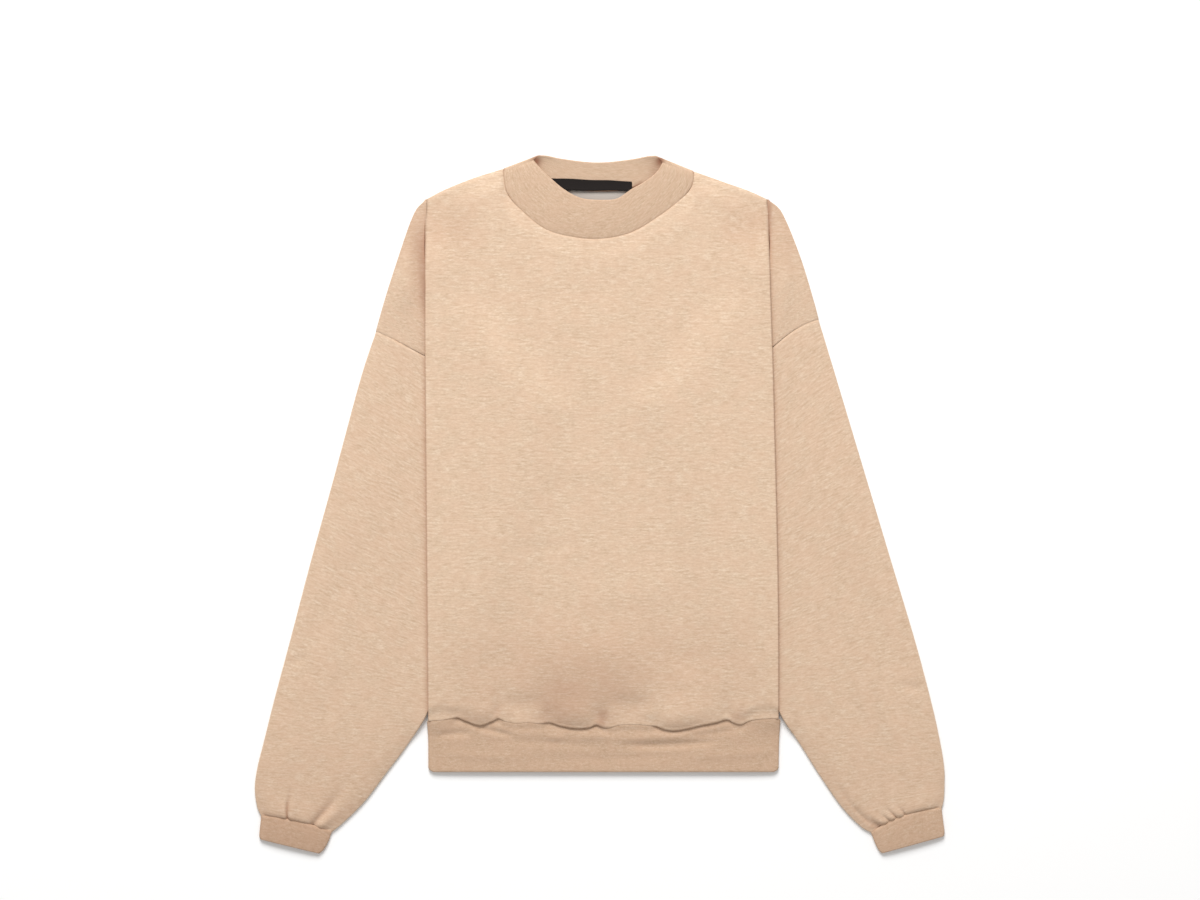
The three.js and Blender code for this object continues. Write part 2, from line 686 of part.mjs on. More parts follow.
function cuff(side) {
  const sign = side === 'left' ? -1 : 1;
  const upperShares = equalShares(CUFF_STEPS.upper);
  const lowerShares = equalShares(CUFF_STEPS.lower);
  const sections = CUFF_SECTIONS[side].map((section) => {
    const upper = acrossTube(section, sign, upperShares, RIB_EDGE, (spot, share, fromEdge) => {
      return RIB_SECOND + section.puff * (1 - Math.exp(-fromEdge / CUFF_RISE_REACH));
    });
    const lower = acrossTube(section, sign, lowerShares, RIB_EDGE, () => RIB_FLOOR);
    const outward = { start: upper.out, end: upper.out.clone().negate() };
    return flatSection(upper.points, lower.points, outward);
  });
  return tubeGeometry(orient(sections, sign), RIB);
}

function hemBand() {
  const left = FOLD_EDGES.at(-1).left;
  const right = FOLD_EDGES.at(-1).right;
  const sections = BAND_ROWS.map((share) => {
    const inset = share === 1 ? HEM_CORNER / 2 : 0;
    const across = (steps, lineY, heightAt) => {
      const points = [];
      for (let i = 0; i <= steps; i += 1) {
        const x = mix(-left + RIB_EDGE + inset, right - RIB_EDGE - inset, i / steps);
        const fromEdge = Math.min(x + left, right - x);
        points.push(new THREE.Vector3(x, mix(lineY(x), HEM_BOTTOM, share), heightAt(x, fromEdge)));
      }
      return points;
    };
    const upper = across(
      BAND_STEPS.upper,
      (x) => lookUp(HEM_SEAM, 'x', x, 'y') - HEM_SEAM_GAP,
      (x, fromEdge) => RIB_SECOND + HEM_RISE * (1 - Math.exp(-fromEdge / PUFF_REACH)) * (1 - share / 2),
    );
    const lower = across(BAND_STEPS.lower, () => HEM_BACK - HEM_SEAM_GAP, () => RIB_FLOOR);
    const outward = { start: new THREE.Vector3(-1, 0, 0), end: new THREE.Vector3(1, 0, 0) };
    return flatSection(upper, lower, outward);
  });
  return tubeGeometry(sections, RIB);
}

// Points along a neck line between its two folded corners, moved towards the inside of the neck
function alongNeck(table, steps, trim, inward) {
  const line = lineThrough(table);
  const length = line.getLength();
  const points = [];
  for (let i = 0; i <= steps; i += 1) {
    const share = mix(trim / length, 1 - trim / length, i / steps);
    const tangent = line.getTangentAt(share);
    const spot = line.getPointAt(share);
    points.push(spot.add(new THREE.Vector3(-tangent.y, tangent.x, 0).multiplyScalar(inward)));
  }
  return points;
}

function collar() {
  const frontSteps = NECK_STEPS.front;
  const backSteps = NECK_STEPS.back;
  const seamTrim = RIB_EDGE + NECK_SEAM_TRIM;
  const seamFront = alongNeck(FRONT_NECK, frontSteps, seamTrim, NECK_SEAM_IN);
  const rimFront = alongNeck(FRONT_RIM, frontSteps, RIB_EDGE, 0);
  const seamBack = alongNeck(BACK_NECK, backSteps, seamTrim, NECK_SEAM_IN);
  const rimBack = alongNeck(BACK_RIM, backSteps, RIB_EDGE, 0);
  const sections = COLLAR_ROWS.map((share) => {
    const upper = seamFront.map((spot, i) => {
      const point = spot.clone().lerp(rimFront[i], share);
      const arch = Math.sin((Math.PI * i) / frontSteps);
      point.z = RIB_SECOND + mix(NECK_SEAM_LIFT, NECK_RIM_LIFT, share) * arch;
      return point;
    });
    const lower = seamBack.map((spot, i) => {
      const point = spot.clone().lerp(rimBack[i], share);
      point.z = RIB_FLOOR;
      return point;
    });
    return flatSection(upper, lower, CORNER_DIRECTIONS);
  });
  return tubeGeometry(sections.reverse(), RIB);
}

function neckTape() {
  const points = [];
  const cells = [];
  const height = FLEECE + LAYER_GAP + TAPE / 2;
  for (let i = 0; i <= TAPE_STEPS; i += 1) {
    const share = i / TAPE_STEPS;
    const x = mix(TAPE_LEFT, TAPE_RIGHT, share);
    const bottom = TAPE_BOTTOM + TAPE_BOTTOM_RISE * (1 - Math.sin((share * Math.PI) / 2));
    points.push(new THREE.Vector3(x, bottom + TAPE_HEIGHT, height));
    points.push(new THREE.Vector3(x, bottom, height));
  }
  for (let i = 0; i < TAPE_STEPS; i += 1) {
    cells.push([2 * i, 2 * i + 1, 2 * i + 3, 2 * i + 2]);
  }
  return wallGeometry(points, cells, TAPE);
}

const fleece = { color: 0xd9b893, roughness: 0.95, metalness: 0 };
const rib = { color: 0xcda983, roughness: 0.95, metalness: 0 };
const twill = { color: 0x1f1a20, roughness: 0.85, metalness: 0 };

const pieces = [
  { name: 'back_panel', geometry: backPanel(), finish: fleece },
  { name: 'front_panel', geometry: frontPanel(), finish: fleece },
  { name: 'sleeve_left', geometry: sleeve('left'), finish: fleece },
  { name: 'sleeve_right', geometry: sleeve('right'), finish: fleece },
  { name: 'cuff_left', geometry: cuff('left'), finish: rib },
  { name: 'cuff_right', geometry: cuff('right'), finish: rib },
  { name: 'hem_band', geometry: hemBand(), finish: rib },
  { name: 'collar', geometry: collar(), finish: rib },
  { name: 'neck_tape', geometry: neckTape(), finish: twill },
];

const sweatshirt = new THREE.Group();
for (const { name, geometry, finish } of pieces) {
  const mesh = new THREE.Mesh(geometry, new THREE.MeshStandardMaterial(finish));
  mesh.name = name;
  sweatshirt.add(mesh);
}

// The origin is the middle of the footprint, on the table
const box = new THREE.Box3().setFromObject(sweatshirt);
const centre = box.getCenter(new THREE.Vector3());
sweatshirt.position.set(-centre.x, -centre.y, -box.min.z);

export default sweatshirt;
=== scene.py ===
"""A crewneck sweatshirt of heather fleece, laid flat with its side folds tucked in.

Every size is a real one in millimetres, in the drawing that the pieces are cut from: the middle line of
the body is x = 0, and the neck lies towards +Y. The meshes are made in metres, on the frame's own place.
"""

from __future__ import annotations

import logging
import math
from dataclasses import dataclass, field
from enum import Enum

import bpy
import numpy as np
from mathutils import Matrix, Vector
from mathutils.kdtree import KDTree


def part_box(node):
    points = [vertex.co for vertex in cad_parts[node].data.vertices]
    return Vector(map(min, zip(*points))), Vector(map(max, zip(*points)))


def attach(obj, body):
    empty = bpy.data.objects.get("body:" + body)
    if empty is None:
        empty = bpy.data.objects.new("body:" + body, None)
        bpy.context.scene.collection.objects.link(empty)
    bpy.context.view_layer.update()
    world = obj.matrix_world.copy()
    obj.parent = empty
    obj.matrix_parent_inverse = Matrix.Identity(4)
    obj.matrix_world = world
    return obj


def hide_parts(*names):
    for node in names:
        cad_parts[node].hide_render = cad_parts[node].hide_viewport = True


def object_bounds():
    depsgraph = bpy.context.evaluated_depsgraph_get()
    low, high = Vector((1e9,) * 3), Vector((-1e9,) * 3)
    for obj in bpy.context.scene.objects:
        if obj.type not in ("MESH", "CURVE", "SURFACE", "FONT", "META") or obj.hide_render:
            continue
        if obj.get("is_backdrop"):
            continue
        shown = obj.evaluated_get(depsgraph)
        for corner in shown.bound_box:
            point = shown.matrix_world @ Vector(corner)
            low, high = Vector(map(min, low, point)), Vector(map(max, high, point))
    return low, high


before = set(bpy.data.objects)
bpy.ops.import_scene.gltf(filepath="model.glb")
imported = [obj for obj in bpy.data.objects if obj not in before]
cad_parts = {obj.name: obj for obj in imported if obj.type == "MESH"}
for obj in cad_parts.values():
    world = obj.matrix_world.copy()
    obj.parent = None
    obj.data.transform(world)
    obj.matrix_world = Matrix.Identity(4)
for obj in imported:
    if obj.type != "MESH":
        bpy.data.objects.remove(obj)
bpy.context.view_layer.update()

log = logging.getLogger("sweatshirt")
Array = np.ndarray
Socket = bpy.types.NodeSocket

MM = 0.001

# Cloth thicknesses, the free space between layers and the mid-heights of the two lowest layers
FLEECE = 1.5
RIB = 1.8
TAPE = 1.0
LAYER_GAP = 0.35
FLEECE_FLOOR = FLEECE / 2
FLEECE_SECOND = FLEECE_FLOOR + FLEECE + LAYER_GAP
RIB_FLOOR = RIB / 2
RIB_SECOND = RIB_FLOOR + RIB + LAYER_GAP
FLEECE_EDGE = (FLEECE_SECOND - FLEECE_FLOOR) / 2 + FLEECE / 2
RIB_EDGE = (RIB_SECOND - RIB_FLOOR) / 2 + RIB / 2
RIB_ROUND = 0.8

# Distance over which a gather grows to double its width
GATHER_SPREAD = 60.0

# Seed of each piece's heather, so that no piece repeats another
SEEDS = {
    "front_panel_cloth": 0.0,
    "back_panel_cloth": 3000.0,
    "sleeve_left_cloth": 1000.0,
    "sleeve_right_cloth": 2000.0,
    "cuff_left_rib": 4000.0,
    "cuff_right_rib": 5000.0,
    "hem_band_rib": 6000.0,
    "collar_rib": 7000.0,
    "neck_tape_twill": 8000.0,
}


class Side(Enum):
    """The two sides of the garment, as they lie in the picture."""

    LEFT = -1
    RIGHT = 1

    @property
    def label(self) -> str:
        """The side's name in piece names."""
        return self.name.lower()


class Knit(Enum):
    """The three cloths and the slot that each one takes in the record."""

    FLEECE = "body_fleece"
    RIB = "rib_knit"
    TWILL = "tape_twill"


def mix(low: Array | float, high: Array | float, share: Array | float) -> Array | float:
    """Value at a share of the way from low to high."""
    return low + (high - low) * share


def smooth(start: float, end: float, value: Array | float) -> Array:
    """Soft step from 0 at start to 1 at end.

    Args:
        start: Value at which the step begins. It may be the larger of the two.
        end: Value at which the step is complete.
        value: Where to read the step.

    Returns:
        The share of the step, from 0 to 1.
    """
    share = np.clip((np.asarray(value, float) - start) / (end - start), 0.0, 1.0)
    return share * share * (3 - 2 * share)


def shares(steps: int) -> Array:
    """Even shares from 0 to 1 in a number of steps."""
    return np.linspace(0, 1, steps + 1)


class Table:
    """Rows of named columns, read smoothly between the rows."""

    def __init__(self, names: str, *rows: tuple[float, ...]) -> None:
        """Keeps the rows by column.

        Args:
            names: Column names, parted by spaces.
            rows: One tuple for each row.
        """
        self.columns = dict(zip(names.split(), np.array(rows, float).T))
        self.count = len(rows)

    def read(self, key: str, value: Array | float, column: str) -> Array:
        """Smooth value of one column, by another column.

        Args:
            key: Column that the value is looked up in.
            value: Where to read, held to the column's ends.
            column: Column to read.

        Returns:
            The column's value there.
        """
        order = np.argsort(self.columns[key])
        return _hermite(self.columns[key][order], self.columns[column][order], value)

    def along(self, share: Array | float, column: str) -> Array:
        """Smooth value of a column at a share of the way through the rows."""
        steps = np.arange(self.count, dtype=float)
        return _hermite(steps, self.columns[column], np.asarray(share) * (self.count - 1))

    def head(self, count: int) -> Table:
        """The first rows of the table, as a table.

        Args:
            count: How many rows to keep.

        Returns:
            The shorter table.
        """
        part = Table.__new__(Table)
        part.columns = {name: column[:count] for name, column in self.columns.items()}
        part.count = count
        return part


def _hermite(keys: Array, values: Array, at: Array | float) -> Array:
    """Cubic through the values, with each slope taken from the two neighbours.

    Args:
        keys: Rising keys.
        values: One value for each key.
        at: Where to read, held to the first and last key.

    Returns:
        The value there.
    """
    last = len(keys) - 1
    before = np.maximum(np.arange(last + 1) - 1, 0)
    after = np.minimum(np.arange(last + 1) + 1, last)
    slopes = (values[after] - values[before]) / (keys[after] - keys[before])
    at = np.clip(np.asarray(at, float), keys[0], keys[-1])
    i = np.clip(np.searchsorted(keys, at, side="left") - 1, 0, last - 1)
    span = keys[i + 1] - keys[i]
    t = (at - keys[i]) / span
    rise = values[i + 1] - values[i]
    bend = (slopes[i] * span - rise) * (1 - t) - (slopes[i + 1] * span - rise) * t
    return values[i] + rise * t + t * (1 - t) * bend


class Line:
    """A smooth plane line through points, read by its length."""

    def __init__(self, points: Array, steps: int = 48) -> None:
        """Traces the line finely.

        Args:
            points: The points that it passes, as rows of x and y.
            steps: Short steps between two points.
        """
        ends = (2 * points[0] - points[1], 2 * points[-1] - points[-2])
        p = np.vstack([ends[0], points, ends[1]])
        gaps = np.sqrt(np.linalg.norm(np.diff(p, axis=0), axis=1))
        share = np.linspace(0, 1, steps, endpoint=False)[:, None]
        traced = []
        for i in range(1, len(p) - 2):
            d0, d1, d2 = gaps[i - 1 : i + 2]
            start = (p[i] - p[i - 1]) / d0 - (p[i + 1] - p[i - 1]) / (d0 + d1) + (p[i + 1] - p[i]) / d1
            end = (p[i + 1] - p[i]) / d1 - (p[i + 2] - p[i]) / (d1 + d2) + (p[i + 2] - p[i + 1]) / d2
            start, end = start * d1, end * d1
            rise = p[i + 1] - p[i]
            square = 3 * rise - 2 * start - end
            cube = -2 * rise + start + end
            traced.append(p[i] + start * share + square * share**2 + cube * share**3)
        self.points = np.vstack([*traced, points[-1]])
        pieces = np.linalg.norm(np.diff(self.points, axis=0), axis=1)
        self.run = np.concatenate([[0.0], np.cumsum(pieces)])

    @property
    def length(self) -> float:
        """Length of the whole line."""
        return float(self.run[-1])

    def at(self, share: Array | float) -> Array:
        """Points at shares of the length.

        Args:
            share: Shares from 0 to 1.

        Returns:
            Rows of x and y.
        """
        run = np.asarray(share, float) * self.length
        return np.stack([np.interp(run, self.run, self.points[:, k]) for k in (0, 1)], axis=-1)

    def inward(self, share: Array) -> Array:
        """Unit vectors to the left of the line's direction at shares of its length.

        Args:
            share: Shares from 0 to 1.

        Returns:
            Rows of x and y.
        """
        step = 0.004
        ahead = self.at(np.minimum(share + step, 1.0)) - self.at(np.maximum(share - step, 0.0))
        ahead /= np.linalg.norm(ahead, axis=-1, keepdims=True)
        return np.stack([-ahead[..., 1], ahead[..., 0]], axis=-1)


@dataclass(frozen=True)
class Crease:
    """One soft trough or ridge.

    Attributes:
        x: Middle, across.
        y: Middle, towards the neck.
        turn: Direction of its length, in degrees from +X.
        length: Half its length.
        width: Half its width.
        lift: Height, or depth where it is negative. In a patch of painted shade it is the shade's share
            from 0 to 1.
        bow: How far its ends bend to the side.
    """

    x: float
    y: float
    turn: float
    length: float
    width: float
    lift: float
    bow: float = 0.0

    def height(self, x: Array, y: Array) -> Array:
        """Height that the crease adds at places on the cloth.

        Args:
            x: Places across.
            y: Places towards the neck.

        Returns:
            The heights.
        """
        angle = math.radians(self.turn)
        along = (x - self.x) * math.cos(angle) + (y - self.y) * math.sin(angle)
        across = (y - self.y) * math.cos(angle) - (x - self.x) * math.sin(angle)
        share = along / self.length
        away = (across - self.bow * share**2) / self.width
        return self.lift * np.exp(-(share**4) - away**2)


def creased(creases: tuple[Crease, ...], x: Array, y: Array) -> Array:
    """Sum of all creases at places on the cloth.

    Args:
        creases: The creases.
        x: Places across.
        y: Places towards the neck.

    Returns:
        The summed heights.
    """
    total = np.zeros(np.broadcast(x, y).shape)
    for crease in creases:
        total = total + crease.height(x, y)
    return total


@dataclass
class Shell:
    """A closed thin wall of cloth round a grid of mid-surface points.

    Attributes:
        name: Name of the piece.
        points: Grid of places in millimetres, as rows by columns by three.
        run: Grid of distances across the cloth.
        along: Grid of distances along the cloth.
        thickness: Thickness of the cloth.
        valid: Which places of the grid hold cloth.
        closed: Whether the last column joins the first one, as round a tube.
        outside_up: Whether the cloth's outside faces up where the grid's marker place is.
        marker: Row and column of a place whose outside is known.
        round_edge: How far the free edges round out.
        hollow: Grid of painted shade at each place, darkest in folds and creases, from 0 to 1.
    """

    name: str
    points: Array
    run: Array
    along: Array
    thickness: float
    valid: Array | None = None
    closed: bool = False
    outside_up: bool = True
    marker: tuple[int, int] = (2, 2)
    round_edge: float = 0.3
    hollow: Array | None = None

    def _quads(self) -> Array:
        """Four-sided cells of the grid that are all cloth.

        Returns:
            Rows of four point numbers.
        """
        rows, columns = self.points.shape[:2]
        number = np.arange(rows * columns).reshape(rows, columns)
        beside = np.roll(number, -1, axis=1)
        last = columns if self.closed else columns - 1
        cells = [number[:-1, :last], number[1:, :last], beside[1:, :last], beside[:-1, :last]]
        quads = np.stack(cells, axis=-1).reshape(-1, 4)
        if self.valid is not None:
            quads = quads[self.valid.ravel()[quads].all(axis=1)]
        return quads

    def build(self, shift: Array) -> bpy.types.Object:
        """Makes the mesh with its outer face, inner face and rounded rims.

        Args:
            shift: Where the drawing's origin lies in the frame, in millimetres.

        Returns:
            The new object, linked to the scene.
        """
        columns = self.points.shape[1]
        places = self.points.reshape(-1, 3)
        quads = self._quads()
        normals = self._normals(places, quads)
        marker = self.marker[0] * columns + self.marker[1]
        if (normals[marker, 2] > 0) != self.outside_up:
            quads = quads[:, ::-1]
            normals = -normals
        used = np.unique(quads)
        renumber = np.full(len(places), -1)
        renumber[used] = np.arange(len(used))
        quads = renumber[quads]
        places, normals = places[used], normals[used]
        seed = np.full(self.run.shape, SEEDS[self.name])
        cloth = np.stack([self.run, self.along, seed], axis=-1).reshape(-1, 3)[used]
        count = len(used)

        starts = quads.ravel()
        ends = np.roll(quads, -1, axis=1).ravel()
        free = ~np.isin(ends * count + starts, starts * count + ends)
        starts, ends = starts[free], ends[free]
        outward = np.zeros((count, 3))
        edge = np.cross(places[ends] - places[starts], normals[starts] + normals[ends])
        np.add.at(outward, starts, edge)
        np.add.at(outward, ends, edge)
        rim = np.unique(starts)
        reach = np.linalg.norm(outward[rim], axis=1, keepdims=True)
        outward[rim] /= np.maximum(reach, 1e-9)

        half = self.thickness / 2
        layers = [places + normals * half, places - normals * half]
        attributes = [(cloth, 0.0), (cloth, 1.0)]
        faces = [quads, quads[:, ::-1] + count]
        rim_number = np.full(count, -1)
        rim_number[rim] = np.arange(len(rim))
        loops = [starts, ends]
        base = 2 * count
        previous = (starts, ends)
        for angle in np.radians([45.0, 90.0, 135.0]):
            up = normals[rim] * half * math.cos(angle)
            out = outward[rim] * self.round_edge * math.sin(angle)
            layers.append(places[rim] + up + out)
            attributes.append((cloth[rim], angle / math.pi))
            ring = tuple(rim_number[side] + base for side in loops)
            faces.append(np.stack([previous[1], previous[0], ring[0], ring[1]], axis=1))
            previous = ring
            base += len(rim)
        faces.append(np.stack([previous[1], previous[0], starts + count, ends + count], axis=1))

        points = (np.vstack(layers) + shift) * MM
        piece = _mesh_object(self.name, points, np.vstack(faces))
        woven = np.vstack([part for part, _ in attributes]) * MM
        inside = np.concatenate([np.full(len(part), share) for part, share in attributes])
        self._write(piece.data, "cloth", "FLOAT_VECTOR", woven)
        self._write(piece.data, "inside", "FLOAT", inside)
        self._write(piece.data, "seam", "FLOAT", self._seam_distance(places, rim, layers) * MM)
        # Painted shade: a share from 0 to 1 by which the material darkens the colour in folds and creases
        if self.hollow is not None:
            hollow = np.clip(self.hollow, 0, 1).ravel()[used]
            rims = [hollow[rim]] * (len(layers) - 2)
            self._write(piece.data, "hollow", "FLOAT", np.concatenate([hollow, hollow, *rims]))
        return piece

    @staticmethod
    def _normals(places: Array, quads: Array) -> Array:
        """Unit normal at each place, from the cells round it.

        Args:
            places: Rows of places.
            quads: Rows of four point numbers.

        Returns:
            One row for each place.
        """
        facing = _facing(places, quads)
        facing /= np.maximum(np.linalg.norm(facing, axis=1, keepdims=True), 1e-9)
        normals = np.zeros_like(places)
        for corner in range(4):
            np.add.at(normals, quads[:, corner], facing)
        return normals / np.maximum(np.linalg.norm(normals, axis=1, keepdims=True), 1e-9)

    @staticmethod
    def _seam_distance(places: Array, rim: Array, layers: list[Array]) -> Array:
        """Distance from each point of each layer to the piece's nearest edge.

        Args:
            places: Places of the mid-surface.
            rim: Numbers of the places on an edge.
            layers: Points of each layer.

        Returns:
            One distance for each point.
        """
        tree = KDTree(len(rim))
        for i, place in enumerate(places[rim]):
            tree.insert(Vector(place), i)
        tree.balance()
        near = np.array([tree.find(Vector(place))[2] for place in places])
        rims = [near[rim]] * (len(layers) - 2)
        return np.concatenate([near, near, *rims])

    @staticmethod
    def _write(mesh: bpy.types.Mesh, name: str, kind: str, values: Array) -> None:
        """Stores one value or vector for each vertex.

        Args:
            mesh: The mesh.
            name: Name of the attribute.
            kind: Its data type.
            values: The values.
        """
        attribute = mesh.attributes.new(name, kind, "POINT")
        target = "vector" if kind == "FLOAT_VECTOR" else "value"
        attribute.data.foreach_set(target, np.ascontiguousarray(values, np.float32).ravel())

    def half_surface(self) -> float:
        """Area of the mid-surface in square metres."""
        facing = _facing(self.points.reshape(-1, 3), self._quads())
        return float(np.linalg.norm(facing, axis=1).sum() / 2) * MM * MM


def _facing(places: Array, quads: Array) -> Array:
    """Vector across each cell, as long as twice its area."""
    one = places[quads[:, 2]] - places[quads[:, 0]]
    return np.cross(one, places[quads[:, 3]] - places[quads[:, 1]])


def _mesh_object(name: str, points: Array, faces: Array) -> bpy.types.Object:
    """Makes a smooth-shaded object from points and four-sided faces.

    Args:
        name: Name of the object and its mesh.
        points: Places in metres.
        faces: Rows of four point numbers.

    Returns:
        The new object, linked to the scene.
    """
    mesh = bpy.data.meshes.new(name)
    mesh.vertices.add(len(points))
    mesh.vertices.foreach_set("co", points.astype(np.float32).ravel())
    mesh.loops.add(faces.size)
    mesh.loops.foreach_set("vertex_index", faces.astype(np.int32).ravel())
    mesh.polygons.add(len(faces))
    mesh.polygons.foreach_set("loop_start", np.arange(0, faces.size, 4, dtype=np.int32))
    mesh.polygons.foreach_set("use_smooth", np.ones(len(faces), bool))
    mesh.update(calc_edges=True)
    mesh.validate()
    piece = bpy.data.objects.new(name, mesh)
    bpy.context.scene.collection.objects.link(piece)
    return piece


# The body's folded edges, as distances from the middle line
FOLD_EDGES = Table(
    "y left right",
    (360.0, 197.0, 191.0),
    (250.0, 197.5, 193.0),
    (140.0, 197.0, 196.5),
    (-100.0, 195.0, 202.0),
    (-260.0, 193.5, 202.5),
)

# Sleeve sections, from the armhole to the cuff: the outer edge, the inner edge and the puff
SLEEVE_SECTIONS = {
    Side.LEFT: Table(
        "outX outY inX inY puff",
        (252.6, 194.9, 87.6, 109.0, 2.8),
        (270.6, 139.6, 104.5, 52.5, 2.8),
        (301.1, 26.6, 135.0, -46.9, 3.0),
        (326.0, -63.8, 161.0, -131.6, 3.0),
        (349.7, -154.2, 180.2, -193.0, 3.0),
        (367.8, -222.0, 194.5, -237.0, 3.2),
        (379.1, -267.2, 216.4, -271.8, 3.4),
        (387.0, -298.9, 240.1, -303.4, 3.4),
        (389.9, -321.5, 265.0, -336.2, 3.4),
        (387.6, -341.8, 289.9, -361.0, 3.2),
        (383.0, -352.8, 302.3, -371.2, 2.6),
    ),
    Side.RIGHT: Table(
        "outX outY inX inY puff",
        (247.5, 208.5, 98.9, 114.7, 2.8),
        (265.0, 150.9, 117.0, 58.2, 2.8),
        (302.3, 26.6, 146.3, -46.9, 3.0),
        (329.4, -63.8, 171.2, -131.6, 3.0),
        (356.5, -154.2, 189.3, -193.0, 3.0),
        (374.6, -222.0, 203.8, -237.0, 3.2),
        (384.8, -267.2, 226.6, -271.8, 3.4),
        (389.9, -298.9, 248.0, -305.7, 3.4),
        (390.2, -321.5, 272.9, -341.8, 3.4),
        (389.3, -335.0, 294.4, -364.4, 3.2),
        (387.0, -344.4, 306.8, -372.0, 2.6),
    ),
}

# The wavy seam above the waistband: its height, how far the body's cloth turns under itself there,
# the length of the slope above it, the mid-height where that slope ends and the drop from there
HEM_LINE = Table(
    "x y roll fall lip drop",
    (-193.5, -245.2, 0.10, 9.0, 7.6, 0.5),
    (-178.0, -244.2, 0.10, 20.0, 7.5, 0.35),
    (-166.0, -242.2, 0.30, 9.0, 7.2, 0.8),
    (-160.5, -241.4, 0.90, 9.0, 7.4, 1.8),
    (-152.0, -245.0, 1.00, 14.0, 7.6, 1.9),
    (-135.0, -250.2, 1.00, 16.0, 7.8, 2.0),
    (-122.0, -246.0, 0.90, 14.0, 7.5, 1.8),
    (-114.5, -242.6, 0.50, 7.0, 6.6, 1.2),
    (-107.0, -245.6, 0.12, 11.0, 6.2, 0.45),
    (-96.0, -247.9, 0.05, 11.0, 6.2, 0.35),
    (-80.0, -247.4, 0.05, 11.0, 6.2, 0.35),
    (-66.0, -248.4, 0.20, 12.0, 6.4, 0.6),
    (-56.5, -247.0, 0.60, 18.0, 7.0, 1.5),
    (-44.0, -250.8, 0.90, 22.0, 7.4, 1.6),
    (-27.7, -253.6, 1.00, 22.0, 7.6, 1.75),
    (-12.0, -252.8, 1.00, 18.0, 7.6, 1.75),
    (-4.0, -249.8, 0.95, 16.0, 7.2, 1.8),
    (3.0, -252.4, 0.55, 14.0, 6.6, 1.4),
    (11.0, -253.0, 0.25, 11.0, 6.4, 0.8),
    (22.0, -250.2, 0.05, 11.0, 6.2, 0.35),
    (42.0, -249.6, 0.05, 11.0, 6.2, 0.35),
    (59.0, -250.8, 0.20, 10.0, 6.4, 0.6),
    (64.0, -251.2, 0.80, 10.0, 7.2, 1.7),
    (71.0, -254.0, 0.90, 12.0, 7.7, 1.9),
    (83.0, -256.2, 1.00, 14.0, 7.8, 2.0),
    (97.0, -254.4, 1.00, 16.0, 7.8, 2.0),
    (114.0, -250.4, 1.00, 14.0, 7.7, 1.9),
    (131.0, -247.2, 1.00, 12.0, 7.7, 1.9),
    (144.5, -243.8, 0.90, 9.0, 7.2, 1.7),
    (152.0, -247.4, 0.60, 7.0, 7.2, 1.4),
    (160.0, -249.2, 0.50, 8.0, 7.0, 1.3),
    (168.0, -245.6, 0.30, 9.0, 7.0, 0.8),
    (175.0, -244.0, 0.20, 13.0, 7.3, 0.5),
    (188.0, -242.8, 0.12, 18.0, 7.6, 0.4),
    (203.0, -242.6, 0.10, 9.0, 7.6, 0.5),
)
ARMHOLE_BOW = {Side.LEFT: 0.4, Side.RIGHT: 4.2}
ARMHOLE_FADE = 18.0
HEM_BACK = -247.0
HEM_BOTTOM = -302.8
HEM_CORNER = 4.6

# Gathers above the waistband: place, half width, lift and how far up the body they fade
HEM_GATHERS = Table(
    "x width lift length",
    (-180.0, 10.0, -1.0, 26.0),
    (-161.0, 6.0, -2.0, 20.0),
    (-138.0, 17.0, 2.8, 30.0),
    (-115.5, 5.0, -3.0, 26.0),
    (-88.0, 19.0, -2.8, 34.0),
    (-61.0, 8.0, -1.6, 30.0),
    (-30.0, 23.0, 3.4, 42.0),
    (0.0, 8.0, -3.4, 24.0),
    (32.0, 22.0, -2.8, 34.0),
    (64.0, 4.5, -1.2, 14.0),
    (92.0, 26.0, 2.8, 34.0),
    (145.0, 6.0, -2.6, 24.0),
    (153.5, 3.0, 1.5, 12.0),
    (161.0, 2.8, -1.6, 11.0),
    (169.0, 6.0, 1.2, 16.0),
    (188.0, 9.0, -1.0, 26.0),
)


